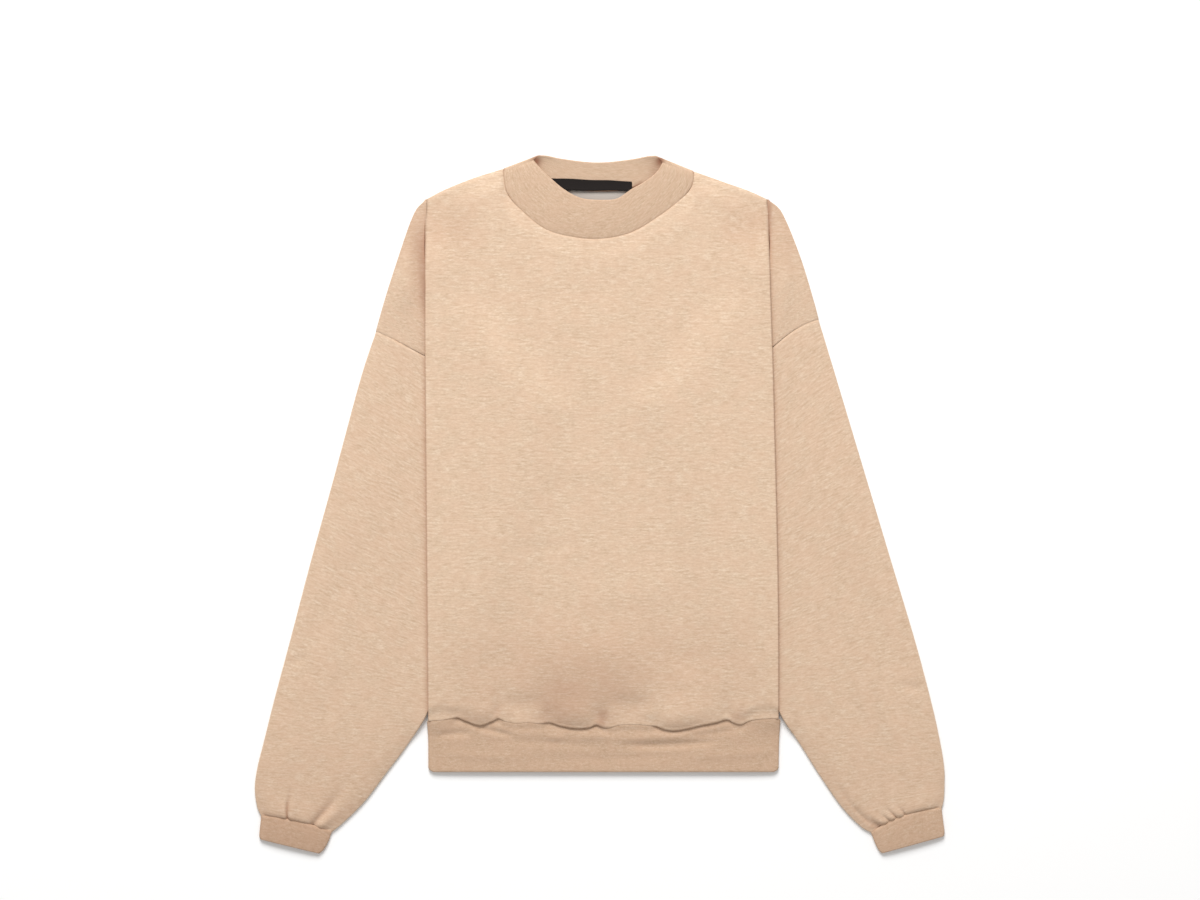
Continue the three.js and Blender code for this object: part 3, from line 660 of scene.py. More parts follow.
class Tuck:
    """The tuck at one side of the body: front, tuck, sleeve, tuck and back lie on each other."""

    FOLD_RADIUS = 0.95
    START = 343.5
    TURN_START = 338.0
    FULL = 236.0
    SHALLOW_TURN = math.radians(14)
    SHALLOW_DEPTH = 1.0
    CLEARANCE = 6.0
    STEP_START = 2.0
    STEP_END = 26.0
    VALLEY_END = 11.0
    VALLEY_Y = 264.0
    VALLEY_LENGTH = 48.0
    HEM_HEIGHT = 7.6
    HEM_FALL = (-228.0, -246.0)
    # Painted shade beyond the folds: its share in the crease by each fold by height, its reach there, the
    # broad shade in the valley below the left shoulder, an even share over the side layers and a share
    # towards the shoulders' tops
    CREASE_TONES = Table(
        "y left right",
        (347.0, 0.0, 0.34), (328.0, 0.04, 0.42), (300.0, 0.06, 0.30), (260.0, 0.08, 0.20),
        (200.0, 0.20, 0.18), (100.0, 0.24, 0.20), (-250.0, 0.24, 0.20),
    )
    CREASE_REACH = 3.4
    VALLEY_TONE = 0.40
    SIDE_TONE = 0.06
    TOP_TONE = 0.12
    TOP_FADE = (250.0, 300.0)
    HIDDEN_SECTIONS = 6
    SIDE_GAP = 0.35

    def __init__(self, side: Side) -> None:
        """Reads the side's edges.

        Args:
            side: The side of the garment.
        """
        self.side = side
        sleeve = SLEEVE_SECTIONS[side]
        self.hidden = sleeve.head(self.HIDDEN_SECTIONS)
        self.underarm = float(sleeve.columns["inY"][0])

    def edge(self, y: Array | float) -> Array:
        """Distance of the outside of the fold from the middle line."""
        return FOLD_EDGES.read("y", y, self.side.label)

    def reach(self, y: Array | float) -> Array:
        """Distance of the fold's mid-surface from the middle line."""
        return self.edge(y) - FLEECE / 2

    def turn(self, y: Array | float) -> Array:
        """Angle through which the cloth has turned after the fold."""
        return mix(self.SHALLOW_TURN, math.pi, smooth(self.TURN_START, self.FULL, y))

    def depth(self, y: Array | float) -> Array:
        """How deep the cloth is tucked in under the front.

        Args:
            y: Places towards the neck.

        Returns:
            The depths.
        """
        y = np.asarray(y, float)
        below = self.reach(y) - self.FOLD_RADIUS + self.CLEARANCE - self.hidden.read("inY", y, "inX")
        share = (self.FULL - y) / (self.FULL - self.underarm)
        above = np.maximum(self.SHALLOW_DEPTH, mix(self.SHALLOW_DEPTH, below, share))
        return np.where(y > self.underarm, above, below)

    def drop(self, y: Array | float) -> Array:
        """Height that one tuck takes up."""
        turn = self.turn(y)
        return 2 * self.FOLD_RADIUS * (1 - np.cos(turn)) + self.depth(y) * np.sin(turn)

    def height(self, y: Array | float) -> Array:
        """Mid-height of the front at the fold."""
        full = FLEECE_SECOND + 2 * self.drop(y)
        return mix(full, self.HEM_HEIGHT, smooth(*self.HEM_FALL, y))

    def turn_line(self, y: Array | float) -> Array:
        """Distance from the middle line to where the tuck turns back."""
        return self.reach(y) - self.depth(y) - 3 * self.FOLD_RADIUS

    def step(self, x: Array, y: Array) -> Array:
        """How far the layers beyond the fold have stepped down to the table, from 0 to 1."""
        end = mix(self.STEP_END, self.VALLEY_END, self.valley(y))
        return smooth(0.0, 1.0, (np.abs(x) - self.edge(y) - self.STEP_START) / (end - self.STEP_START))

    def valley(self, y: Array) -> Array:
        """Share of the deep valley that lies beside the left fold below the shoulder."""
        share = np.exp(-(((np.asarray(y, float) - self.VALLEY_Y) / self.VALLEY_LENGTH) ** 4))
        return share if self.side is Side.LEFT else 0.0 * share

    def hollow(self, x: Array, y: Array) -> Array:
        """Share of painted shade at a place beyond the fold, darkest in the crease beside it, from 0 to 1.

        Args:
            x: Places across.
            y: Places towards the neck.

        Returns:
            The shares.
        """
        away = np.maximum(np.abs(x) - self.edge(y), 0.0)
        tone = self.CREASE_TONES.read("y", y, self.side.label)
        narrow = tone * np.exp(-((away / self.CREASE_REACH) ** 2))
        broad = self.VALLEY_TONE * self.valley(y) * np.exp(-((away / self.VALLEY_END) ** 2))
        return narrow + broad + self.SIDE_TONE + self.TOP_TONE * smooth(*self.TOP_FADE, y)

    def profile(self, y: Array, seamed: bool, counts: tuple[int, int, int]) -> tuple[Array, Array]:
        """Points of the tuck from the folded edge inwards.

        Args:
            y: Heights of the rows.
            seamed: Whether the tuck ends at the side seam, halfway between front and back.
            counts: Steps round the fold, along the tuck and round its turn.

        Returns:
            Distances from the middle line and depths below the panel, a row for each height.
        """
        round_steps, flat_steps, turn_steps = counts
        turn = self.turn(y)[:, None]
        depth = self.depth(y)[:, None]
        radius = self.FOLD_RADIUS
        start = (self.reach(y) - radius)[:, None]
        angle = turn * shares(round_steps)[None, 1:]
        across = [start + radius * np.sin(angle)]
        down = [radius * (1 - np.cos(angle))]
        share = shares(flat_steps)[None, 1:]
        across.append(across[0][:, -1:] + depth * np.cos(turn) * share)
        down.append(down[0][:, -1:] + depth * np.sin(turn) * share)
        inner_x, inner_z = across[1][:, -1:], down[1][:, -1:]
        middle = (self.height(y)[:, None] - FLEECE_FLOOR) / 2 - self.SIDE_GAP
        bend = middle - inner_z if seamed else radius
        last = math.pi / 2 if seamed else 0.0
        angle = mix(turn, last, shares(turn_steps)[None, 1:])
        across.append(inner_x + bend * (np.sin(turn) - np.sin(angle)))
        down.append(inner_z + bend * (np.cos(angle) - np.cos(turn)))
        return np.hstack(across), np.hstack(down)


TUCKS = {side: Tuck(side) for side in Side}


def armhole_bow(side: Side, x: Array, y: Array) -> Array:
    """How far the armhole's seam on top bows towards the neck, at places near it.

    Args:
        side: The side of the garment.
        x: Places across.
        y: Places towards the neck.

    Returns:
        Shifts towards the neck.
    """
    ends = SLEEVE_SECTIONS[side].columns
    rise = (ends["outY"][0] - ends["inY"][0]) / (ends["outX"][0] - ends["inX"][0])
    line = ends["inY"][0] + (np.abs(x) - ends["inX"][0]) * rise
    fold = TUCKS[side].edge(line)
    share = np.clip((np.abs(x) - fold) / (ends["outX"][0] - fold), 0, 1)
    fade = np.exp(-(((y - line) / ARMHOLE_FADE) ** 2))
    return ARMHOLE_BOW[side] * np.sin(math.pi * share) * fade


def upper_layer(side: Side, x: Array, y: Array, from_edge: Array, puff: Array | float) -> Array:
    """Mid-height of the upper layer of a shoulder or sleeve.

    Args:
        side: The side of the garment.
        x: Places across.
        y: Places towards the neck.
        from_edge: Distances to the layer's nearest folded edge.
        puff: How far the layer stands off the one below.

    Returns:
        Heights above the table.
    """
    inside = FLEECE_SECOND + TUCKS[side].drop(y)
    outside = FLEECE_SECOND + puff * (1 - np.exp(-from_edge / Body.PUFF_REACH))
    return mix(inside, outside, TUCKS[side].step(x, y))


def lower_layer(side: Side, x: Array, y: Array) -> Array:
    """Mid-height of the lower layer of a shoulder or sleeve."""
    return mix(FLEECE_FLOOR + TUCKS[side].drop(y), FLEECE_FLOOR, TUCKS[side].step(x, y))


@dataclass(frozen=True)
class Place:
    """Where the drawing lies in the frame.

    Attributes:
        shift: Place of the drawing's origin in the frame, in millimetres.
    """

    shift: Array

    @classmethod
    def from_tape(cls) -> Place:
        """Works the place out from the neck tape, whose box is known in the drawing."""
        low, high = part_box("neck_tape")
        top = NeckTape.BOTTOM + NeckTape.BOTTOM_RISE + NeckTape.CAD_HEIGHT
        floor = FLEECE + LAYER_GAP
        return cls(np.array([low.x / MM - NeckTape.LEFT, high.y / MM - top, low.z / MM - floor]))


@dataclass
class Piece:
    """What all sewn pieces share.

    Attributes:
        place: Where the drawing lies in the frame.
        finish: The piece's cloth.
    """

    place: Place
    finish: KnitFinish | TwillFinish

    def _sewn(self, shell: Shell) -> bpy.types.Object:
        """Makes and dresses a piece from its shell.

        Args:
            shell: The piece's wall of cloth.

        Returns:
            The dressed object.
        """
        piece = shell.build(self.place.shift)
        self.finish.dress(piece)
        log.info("%s: %.4f m2 of cloth", shell.name, shell.half_surface())
        return piece


def raised(spots: Array, heights: Array) -> Array:
    """Places in space from places in the plane and their heights."""
    return np.concatenate([spots, heights[..., None]], axis=-1)


@dataclass
class Body(Piece):
    """The front and the back, each in one piece with its dropped shoulders and side tucks."""

    tuck_steps: tuple[int, int, int] = (6, 6, 4)
    layer_steps: int = 26
    upper_rows: int = 44
    lower_rows: int = 66
    hem_rows: int = 30
    roll_rows: int = 9

    PUFF_REACH = 14.0
    SHOULDER_PUFF = 2.8
    FRONT_RISE = 3.2
    SAG_REACH = 70.0
    PINCH_REACH = 26.0
    NECK_SHARE = 0.55
    RELAXED = 228.0
    HEM_START = -205.0
    DOME_START = 0.3
    ROLL_START = 0.45
    ROLL_REACH = (1.6, 3.2)
    FALL_TAIL = 3.0
    HEM_SIDE = (26.0, 4.0)
    HEM_CROWDING = 1.7
    TUCK_SAG = 1.0
    BLOUSE = 2.6
    BLOUSE_FADE = (46.0 * 2.4, 46.0 / 3)
    NECK_SPAN = (106.0, 82.0)
    GATHER_LEAN = 0.1
    CORNER = 3
    SHOULDER_PART = 6
    COLUMNS = 190
    BACK_COLUMNS = 60

    # Height at the side folds and the share of the shoulder's outer edge
    SHOULDER_ROWS = Table(
        "fold edge",
        (343.5, 0.03), (333.0, 0.09), (323.0, 0.16), (312.0, 0.23), (300.0, 0.31),
        (286.0, 0.41), (262.0, 0.53), (228.0, 0.66), (180.0, 0.83), (111.0, 1.0),
    )
    SHOULDERS = {
        Side.LEFT: np.array([
            (109.4, 378.0), (145.0, 366.6), (178.0, 353.0), (195.8, 343.5), (206.0, 333.8),
            (212.4, 321.0), (229.0, 273.0), (243.0, 229.0), (252.6, 194.9),
        ]),
        Side.RIGHT: np.array([
            (107.2, 375.0), (143.0, 362.2), (169.0, 353.0), (189.8, 343.5), (202.6, 333.8),
            (210.4, 320.0), (228.0, 275.2), (240.0, 236.0), (247.5, 208.5),
        ]),
    }
    FRONT_CREASES = (
        Crease(-10.0, -172.0, 0.0, 66.0, 38.0, 3.0),
        Crease(-88.0, -226.0, 2.0, 24.0, 10.0, -1.2),
        Crease(36.0, -226.0, -2.0, 26.0, 10.0, -1.2),
        Crease(-60.0, -50.0, 4.0, 34.0, 7.0, -0.5, 3.0),
        Crease(-170.0, -108.0, -8.0, 18.0, 6.0, -0.6),
        Crease(44.0, -100.0, 12.0, 60.0, 18.0, 0.8, 8.0),
        Crease(-90.0, 60.0, -20.0, 90.0, 24.0, 0.8, 10.0),
        Crease(96.0, 128.0, 24.0, 80.0, 22.0, 0.9, -9.0),
        Crease(112.0, -176.0, -4.0, 40.0, 14.0, -0.8, 5.0),
        Crease(-134.0, -160.0, 14.0, 40.0, 14.0, 0.9, 4.0),
        Crease(128.0, -20.0, 78.0, 90.0, 18.0, -0.7, 8.0),
        Crease(-140.0, 190.0, 66.0, 80.0, 16.0, -0.6, -8.0),
        Crease(-20.0, 236.0, 6.0, 60.0, 12.0, -0.5, 6.0),
    )
    SHOULDER_CREASES = {
        Side.LEFT: (
            Crease(-205.0, 262.0, 90.0, 46.0, 7.0, -1.6),
            Crease(-220.0, 262.0, 97.0, 46.0, 8.0, 2.4),
            Crease(-226.0, 196.0, 70.0, 30.0, 9.0, -0.8),
        ),
        Side.RIGHT: (Crease(212.0, 250.0, 84.0, 50.0, 9.0, 1.0),),
    }

    # Patches of painted shade on the front, where less light comes in
    HOLLOWS = (
        Crease(3.0, -245.0, 80.0, 13.0, 7.0, 0.34),
        Crease(-40.0, -233.0, 70.0, 32.0, 26.0, 0.15),
        Crease(-178.0, 312.0, 0.0, 42.0, 30.0, 0.17),
        Crease(178.0, 312.0, 0.0, 42.0, 30.0, 0.17),
        Crease(-20.0, -166.0, 0.0, 80.0, 45.0, 0.05),
        Crease(-18.0, -212.0, 8.0, 58.0, 36.0, 0.09, -10.0),
        Crease(-138.0, -243.0, 0.0, 20.0, 9.0, 0.12),
        Crease(-138.0, -222.0, 0.0, 18.0, 14.0, 0.08),
        Crease(-115.0, -238.0, 90.0, 10.0, 5.0, 0.16),
        Crease(88.0, -250.0, 3.0, 28.0, 6.0, 0.08),
        Crease(156.0, -242.0, 0.0, 10.0, 10.0, 0.16),
        Crease(-61.0, -238.0, 84.0, 16.0, 6.0, 0.10),
        Crease(0.0, -195.0, 0.0, 200.0, 64.0, 0.16),
    )

    def build(self) -> list[bpy.types.Object]:
        """Makes both panels.

        Returns:
            The front and the back.
        """
        panels = (("front_panel_cloth", True), ("back_panel_cloth", False))
        return [self._sewn(self._panel(name, front)) for name, front in panels]

    def front_height(self, x: Array, y: Array, below: Array) -> Array:
        """Mid-height of the front between its side folds.

        Args:
            x: Places across.
            y: Places towards the neck.
            below: Distances below the shoulder and neck seams.

        Returns:
            Heights above the table.
        """
        side_x = np.abs(x)
        fold = np.where(x < 0, self._fold_height(Side.LEFT, y), self._fold_height(Side.RIGHT, y))
        turn = np.where(x < 0, TUCKS[Side.LEFT].turn_line(y), TUCKS[Side.RIGHT].turn_line(y))
        above_seam = np.maximum(0.0, y - HEM_LINE.read("x", x, "y"))
        gathers = np.zeros(np.shape(x))
        columns = HEM_GATHERS.columns
        for place, width, lift, length in zip(*(columns[key] for key in ("x", "width", "lift", "length"))):
            lean = self.GATHER_LEAN * above_seam * math.sin(place)
            away = (x - place - lean) / (width * (1 + above_seam / GATHER_SPREAD))
            gathers = gathers + lift * np.exp(-((above_seam / length) ** 2) - away * away)
        blouse = self.BLOUSE * smooth(*self.BLOUSE_FADE, above_seam)
        neck = self.NECK_SHARE * smooth(*self.NECK_SPAN, side_x)
        rise = (self.FRONT_RISE + blouse) * mix(neck, 1.0, smooth(0, self.PINCH_REACH, below))
        rise = rise + creased(self.FRONT_CREASES, x, y) * smooth(0, self.PINCH_REACH, below)
        middle = FLEECE_SECOND + np.maximum(rise + gathers, 0.0)
        return mix(middle, fold, smooth(turn - self.SAG_REACH, turn, side_x))

    @staticmethod
    def _fold_height(side: Side, y: Array) -> Array:
        """Mid-height of the front at one side's fold."""
        return TUCKS[side].height(np.minimum(y, Tuck.START))

    def _top_line(self, front: bool, columns: int) -> Array:
        """Top edge of a panel's middle: a shoulder, the neck and the other shoulder.

        Args:
            front: Whether it is the front.
            columns: Steps across.

        Returns:
            Rows of x and y.
        """
        neck = Line(Collar.FRONT_SEAM if front else Collar.BACK_SEAM)
        shoulder = columns // self.SHOULDER_PART
        parts = []
        for side in Side:
            edge = self.SHOULDERS[side][: self.CORNER + 1] * (side.value, 1.0)
            parts.append(Line(edge).at(shares(shoulder)))
        middle = neck.at(shares(columns - 2 * shoulder))
        return np.vstack([parts[0][::-1], middle[1:-1], parts[1]])

    def _rows(self) -> tuple[Array, Array, Array, Array]:
        """Heights of the rows at both sides, their shares of the shoulder's edge and of the hem.

        Returns:
            Both sides' heights and the two sets of shares.
        """
        upper = shares(self.upper_rows)
        heights = {}
        for side in Side:
            under = TUCKS[side].underarm
            heights[side] = mix(Tuck.START, under, upper)
        middle = (heights[Side.LEFT] + heights[Side.RIGHT]) / 2
        edge = self.SHOULDER_ROWS.read("fold", middle, "edge")
        edge[-1] = 1.0
        lower = shares(self.lower_rows)[1:]
        left = np.concatenate([heights[Side.LEFT], mix(heights[Side.LEFT][-1], self.HEM_START, lower)])
        right = np.concatenate([heights[Side.RIGHT], mix(heights[Side.RIGHT][-1], self.HEM_START, lower)])
        return left, right, edge, 1 - (1 - shares(self.hem_rows)[1:]) ** self.HEM_CROWDING

    def _panel(self, name: str, front: bool) -> Shell:
        """Lays out one panel.

        Args:
            name: Name of the piece.
            front: Whether it is the front.

        Returns:
            The panel's shell.
        """
        columns = self.COLUMNS if front else self.BACK_COLUMNS
        left_y, right_y, edge_share, hem_share = self._rows()
        top = self._top_line(front, columns)
        share = shares(columns)
        reach_left = TUCKS[Side.LEFT].reach(left_y) - Tuck.FOLD_RADIUS
        reach_right = TUCKS[Side.RIGHT].reach(right_y) - Tuck.FOLD_RADIUS
        x = mix(-reach_left[:, None], reach_right[:, None], share[None, :])
        flat_y = mix(left_y[:, None], right_y[:, None], share[None, :])
        row_y = ((left_y + right_y) / 2)[:, None]
        blend = np.clip((Tuck.START - row_y) / (Tuck.START - self.RELAXED), 0, 1)
        x = mix(top[None, :, 0], x, blend)
        y = mix(top[None, :, 1], flat_y + (self.RELAXED - row_y) * (1 - blend), blend)
        y = np.where(blend < 1, y, flat_y)

        seam = HEM_LINE.read("x", x[-1], "y") if front else np.full(columns + 1, HEM_BACK + Tuck.SIDE_GAP)
        crest = self._crest(x[-1]) if front else seam
        hem_y = mix(y[-1:], crest[None, :], hem_share[:, None])
        x = np.vstack([x, np.repeat(x[-1:], len(hem_share), axis=0)])
        y = np.vstack([y, hem_y])
        below = top[None, :, 1] - y
        if front:
            z = self._hem_fall(x, y, below)
            x, y, z = self._rolled(x, y, z)
        else:
            z = np.full(x.shape, FLEECE_FLOOR)
        middle = np.stack([x, y, z], axis=-1)
        sides = {side: self._side(side, middle, left_y, right_y, edge_share, front) for side in Side}
        points = np.concatenate([sides[Side.LEFT][0][:, ::-1], middle, sides[Side.RIGHT][0]], axis=1)
        run = np.concatenate([sides[Side.LEFT][1][:, ::-1], x, sides[Side.RIGHT][1]], axis=1)
        valid = np.isfinite(points).all(axis=-1)
        hollow = self._hollow(points[..., 0], points[..., 1], sides, x.shape[1]) if front else None
        marker = (points.shape[0] // 2, points.shape[1] // 2)
        return Shell(
            name, points, run, points[..., 1], FLEECE, valid, outside_up=front, marker=marker, hollow=hollow
        )

    def _hollow(self, x: Array, y: Array, sides: dict[Side, tuple[Array, Array]], middle: int) -> Array:
        """Share of painted shade at each place of the front, from 0 to 1: beside the folds and in the
        listed patches.

        Args:
            x: Places across.
            y: Places towards the neck.
            sides: The tucked layers of both sides.
            middle: Number of columns between them.

        Returns:
            The shares of painted shade, as a grid.
        """
        left = sides[Side.LEFT][0].shape[1]
        # Shares of painted shade at each place
        depth = np.zeros(x.shape)
        depth[:, :left] = TUCKS[Side.LEFT].hollow(x[:, :left], y[:, :left])
        depth[:, left + middle:] = TUCKS[Side.RIGHT].hollow(x[:, left + middle:], y[:, left + middle:])
        inner = slice(left, left + middle)
        depth[:, inner] = creased(self.HOLLOWS, x[:, inner], y[:, inner])
        return np.nan_to_num(depth)

    def _crest(self, x: Array) -> Array:
        """Where the front begins to curve down to the waistband."""
        return HEM_LINE.read("x", x, "y") + self._roll_reach(x)

    def _roll_reach(self, x: Array) -> Array:
        """How far the rounded lower edge of the front reaches back from its lowest line."""
        return mix(*self.ROLL_REACH, HEM_LINE.read("x", x, "roll"))

    @staticmethod
    def _roll_turn(x: Array) -> Array:
        """Angle that the front's lower edge turns through."""
        return math.pi / 2 * (1 + np.clip(HEM_LINE.read("x", x, "roll"), 0, 1))

    def _at_side(self, x: Array) -> Array:
        """Share of the way to the folded side, from 0 to 1, for places at the waistband.

        Args:
            x: Places across.

        Returns:
            The shares.
        """
        crest = self._crest(x)
        side = np.where(x < 0, TUCKS[Side.LEFT].reach(crest), TUCKS[Side.RIGHT].reach(crest))
        return smooth(side - self.HEM_SIDE[0], side - self.HEM_SIDE[1], np.abs(x))

    def lip_height(self, x: Array) -> Array:
        """Mid-height of the front where it begins to curve down to the waistband."""
        return mix(HEM_LINE.read("x", x, "lip"), Tuck.HEM_HEIGHT, self._at_side(x))

    def seam_height(self, x: Array) -> Array:
        """Mid-height of the front's cloth at the waistband's seam."""
        return self.lip_height(x) - HEM_LINE.read("x", x, "drop")

    def _hem_fall(self, x: Array, y: Array, below: Array) -> Array:
        """Mid-heights of the front, sloping down to its lower edge.

        Args:
            x: Grid of places across.
            y: Grid of places towards the neck.
            below: Distances below the shoulder and neck seams.

        Returns:
            Grid of mid-heights.
        """
        z = self.front_height(x, y, below)
        crest = self._crest(x[-1])[None, :]
        fall = HEM_LINE.read("x", x[-1], "fall")[None, :]
        lip = self.lip_height(x[-1])[None, :]
        roll = HEM_LINE.read("x", x[-1], "roll")[None, :]
        share = np.clip((y - crest) / (fall + self.FALL_TAIL), 0, 1)
        start = math.sqrt(1 - (1 - self.DOME_START) ** 2)
        dome = (np.sqrt(1 - ((1 - share) * (1 - self.DOME_START)) ** 2) - start) / (1 - start)
        return mix(lip, z, mix(smooth(0.0, 1.0, share), dome, np.clip(roll, 0, 1)))

    def _rolled(self, x: Array, y: Array, z: Array) -> tuple[Array, Array, Array]:
        """Adds the rows that curve down and under to the waistband's seam.

        Args:
            x: Grid of places across.
            y: Grid of places towards the neck.
            z: Grid of mid-heights.

        Returns:
            The three grids, with the new rows at their end.
        """
        turn = self._roll_turn(x[-1])
        reach = self._roll_reach(x[-1])
        radius = (self.lip_height(x[-1]) - self.seam_height(x[-1])) / (1 - np.cos(turn))
        first = self.ROLL_START * np.clip(HEM_LINE.read("x", x[-1], "roll"), 0, 1)
        steps = shares(self.roll_rows)[1:, None]
        angle = first + (turn - first) * steps
        drop = (np.cos(first) - np.cos(angle)) / (np.cos(first) - np.cos(turn)) * (1 - np.cos(turn))
        out = np.sin(angle) - np.sin(first) * (1 - steps) ** 3
        rolled_y = y[-1:] - reach[None, :] * out
        rolled_z = z[-1:] - radius[None, :] * drop
        rolled_x = np.repeat(x[-1:], self.roll_rows, axis=0)
        return np.vstack([x, rolled_x]), np.vstack([y, rolled_y]), np.vstack([z, rolled_z])

    def roll_end(self, x: Array) -> tuple[Array, Array]:
        """Where the front's cloth ends at the waistband: its place and mid-height."""
        end_y = self._crest(x) - self._roll_reach(x) * np.sin(self._roll_turn(x))
        return end_y, self.seam_height(x)

    def _side(
        self, side: Side, middle: Array, left_y: Array, right_y: Array, edge_share: Array, front: bool
    ) -> tuple[Array, Array]:
        """Tucked layers of one side, from the folded edge inwards and out again to the shoulder's edge.

        Args:
            side: The side of the garment.
            middle: Grid of the panel's middle.
            left_y: Heights of the rows at the left fold, without the hem rows.
            right_y: The same at the right fold.
            edge_share: Shares of the shoulder's outer edge, one for each row down to the underarm.
            front: Whether the panel is the front.

        Returns:
            Grid of places, and of distances along the cloth from the middle line. Places without cloth
            are not numbers.
        """
        rows = len(middle)
        outward = len(edge_share)
        known = left_y if side is Side.LEFT else right_y
        fold = middle[:, 0 if side is Side.LEFT else -1]
        y = np.concatenate([known, fold[len(known):, 1]])
        lip = fold[:, 2] if front else np.full(rows, FLEECE_FLOOR)
        tuck = TUCKS[side]
        parts = []
        for seamed, select in ((False, slice(0, outward)), (True, slice(outward, rows))):
            across, down = tuck.profile(y[select], seamed, self.tuck_steps)
            base = lip[select, None]
            if seamed and front:
                base = np.maximum(base, Tuck.HEM_HEIGHT - self.TUCK_SAG)
            z = base - down if front else base + down
            row_y = np.repeat(y[select, None], across.shape[1], axis=1)
            parts.append(np.stack([side.value * across, row_y, z], axis=-1))
        grid = np.vstack(parts)

        line = Line(self.SHOULDERS[side][self.CORNER:] * (side.value, 1.0))
        outer = line.at(edge_share)
        start = grid[:outward, -1, :2]
        length = np.linalg.norm(outer - start, axis=1)[:, None]
        share = shares(self.layer_steps)[None, 1:]
        spots = start[:, None, :] + (outer - start)[:, None, :] * share[..., None]
        x, row_y = spots[..., 0], spots[..., 1]
        from_edge = length * (1 - share)
        if front:
            z = upper_layer(side, x, row_y, from_edge, self.SHOULDER_PUFF)
            fade = smooth(0, self.PUFF_REACH, from_edge)
            z = z + creased(self.SHOULDER_CREASES[side], x, row_y) * fade
            row_y = row_y + armhole_bow(side, x, row_y)
        else:
            z = lower_layer(side, x, row_y)
        layer = np.full((rows, self.layer_steps, 3), np.nan)
        layer[:outward] = np.stack([x, row_y, z], axis=-1)
        grid = np.concatenate([grid, layer], axis=1)
        joined = np.concatenate([fold[:, None, :], grid], axis=1)
        run = np.cumsum(np.linalg.norm(np.diff(joined[..., [0, 2]], axis=1), axis=-1), axis=1)
        return grid, fold[:, None, 0] + side.value * run


def flat_ring(upper: Array, lower: Array, out: Array, round_steps: int = 5) -> Array:
    """Closed sections of a flattened tube.

    Args:
        upper: Points of the upper layers, a row for each section.
        lower: Points of the lower layers, in the same direction.
        out: Unit vectors that point out of the tube at the sections' first points, in the plane.
        round_steps: Points round each folded edge.

    Returns:
        The upper layer, a rounded edge, the lower layer and the other edge, as one ring in each row.
    """
    angles = np.linspace(0, math.pi, round_steps + 2)[1:-1]
    out = np.concatenate([out, np.zeros((len(out), 1))], axis=1)[:, None, :]

    def turned(start: Array, end: Array, way: float) -> Array:
        """Rounded edge from the start points to the end points.

        Args:
            start: Start points.
            end: End points.
            way: Sign of the side that it turns to.

        Returns:
            The points between.
        """
        centre = ((start + end) / 2)[:, None, :]
        half = ((start - end) / 2)[:, None, :]
        radius = np.linalg.norm(half, axis=-1, keepdims=True)
        bend = angles[None, :, None]
        return centre + half * np.cos(bend) + way * out * radius * np.sin(bend)

    far = turned(upper[:, -1], lower[:, -1], -1.0)
    near = turned(lower[:, 0], upper[:, 0], 1.0)
    return np.concatenate([upper, far, lower[:, ::-1], near], axis=1)


def ring_run(points: Array) -> Array:
    """Distances round each ring from its first point."""
    steps = np.linalg.norm(np.diff(points, axis=1), axis=-1)
    return np.concatenate([np.zeros((len(points), 1)), np.cumsum(steps, axis=1)], axis=1)


@dataclass
class Tube(Piece):
    """What the sleeves and cuffs share: a laid tube between an outer and an inner edge.

    Attributes:
        side: The side of the garment.
    """

    side: Side

    CROWDING = 0.45
    MARKER_COLUMN = 12

    def _across(self, table: Table, share: Array, steps: int, edge: float) -> tuple[Array, ...]:
        """Places across the tube at stations along it.

        Args:
            table: Sections with the columns outX, outY, inX and inY.
            share: Shares of the way along the table.
            steps: Steps across.
            edge: How far the flat layers end inside the outline.

        Returns:
            Places, unit vectors out at the outer edge, distances to the nearest edge, and the widths.
        """
        sign = self.side.value
        outer = np.stack([sign * table.along(share, "outX"), table.along(share, "outY")], axis=-1)
        inner = np.stack([sign * table.along(share, "inX"), table.along(share, "inY")], axis=-1)
        out = outer - inner
        out /= np.linalg.norm(out, axis=1, keepdims=True)
        start, end = outer - out * edge, inner + out * edge
        width = np.linalg.norm(start - end, axis=1)[:, None]
        even = shares(steps)
        parts = mix(even, (1 - np.cos(math.pi * even)) / 2, self.CROWDING)[None, :]
        spots = start[:, None, :] + (end - start)[:, None, :] * parts[..., None]
        return spots, out, width * np.minimum(parts, 1 - parts), width

    def _shell(self, name: str, rings: Array, along: Array, thickness: float) -> Shell:
        """Wraps closed sections in cloth.

        Args:
            name: Name of the piece.
            rings: Closed sections, a row for each.
            along: Distance of each section along the tube.
            thickness: Thickness of the cloth.

        Returns:
            The shell.
        """
        length = np.repeat(along[:, None], rings.shape[1], axis=1)
        marker = (len(rings) // 2, self.MARKER_COLUMN)
        return Shell(name, rings, ring_run(rings), length, thickness, closed=True, marker=marker)


def run_along(points: Array) -> Array:
    """Distances along a row of points."""
    return np.concatenate([[0.0], np.cumsum(np.linalg.norm(np.diff(points, axis=0), axis=1))])


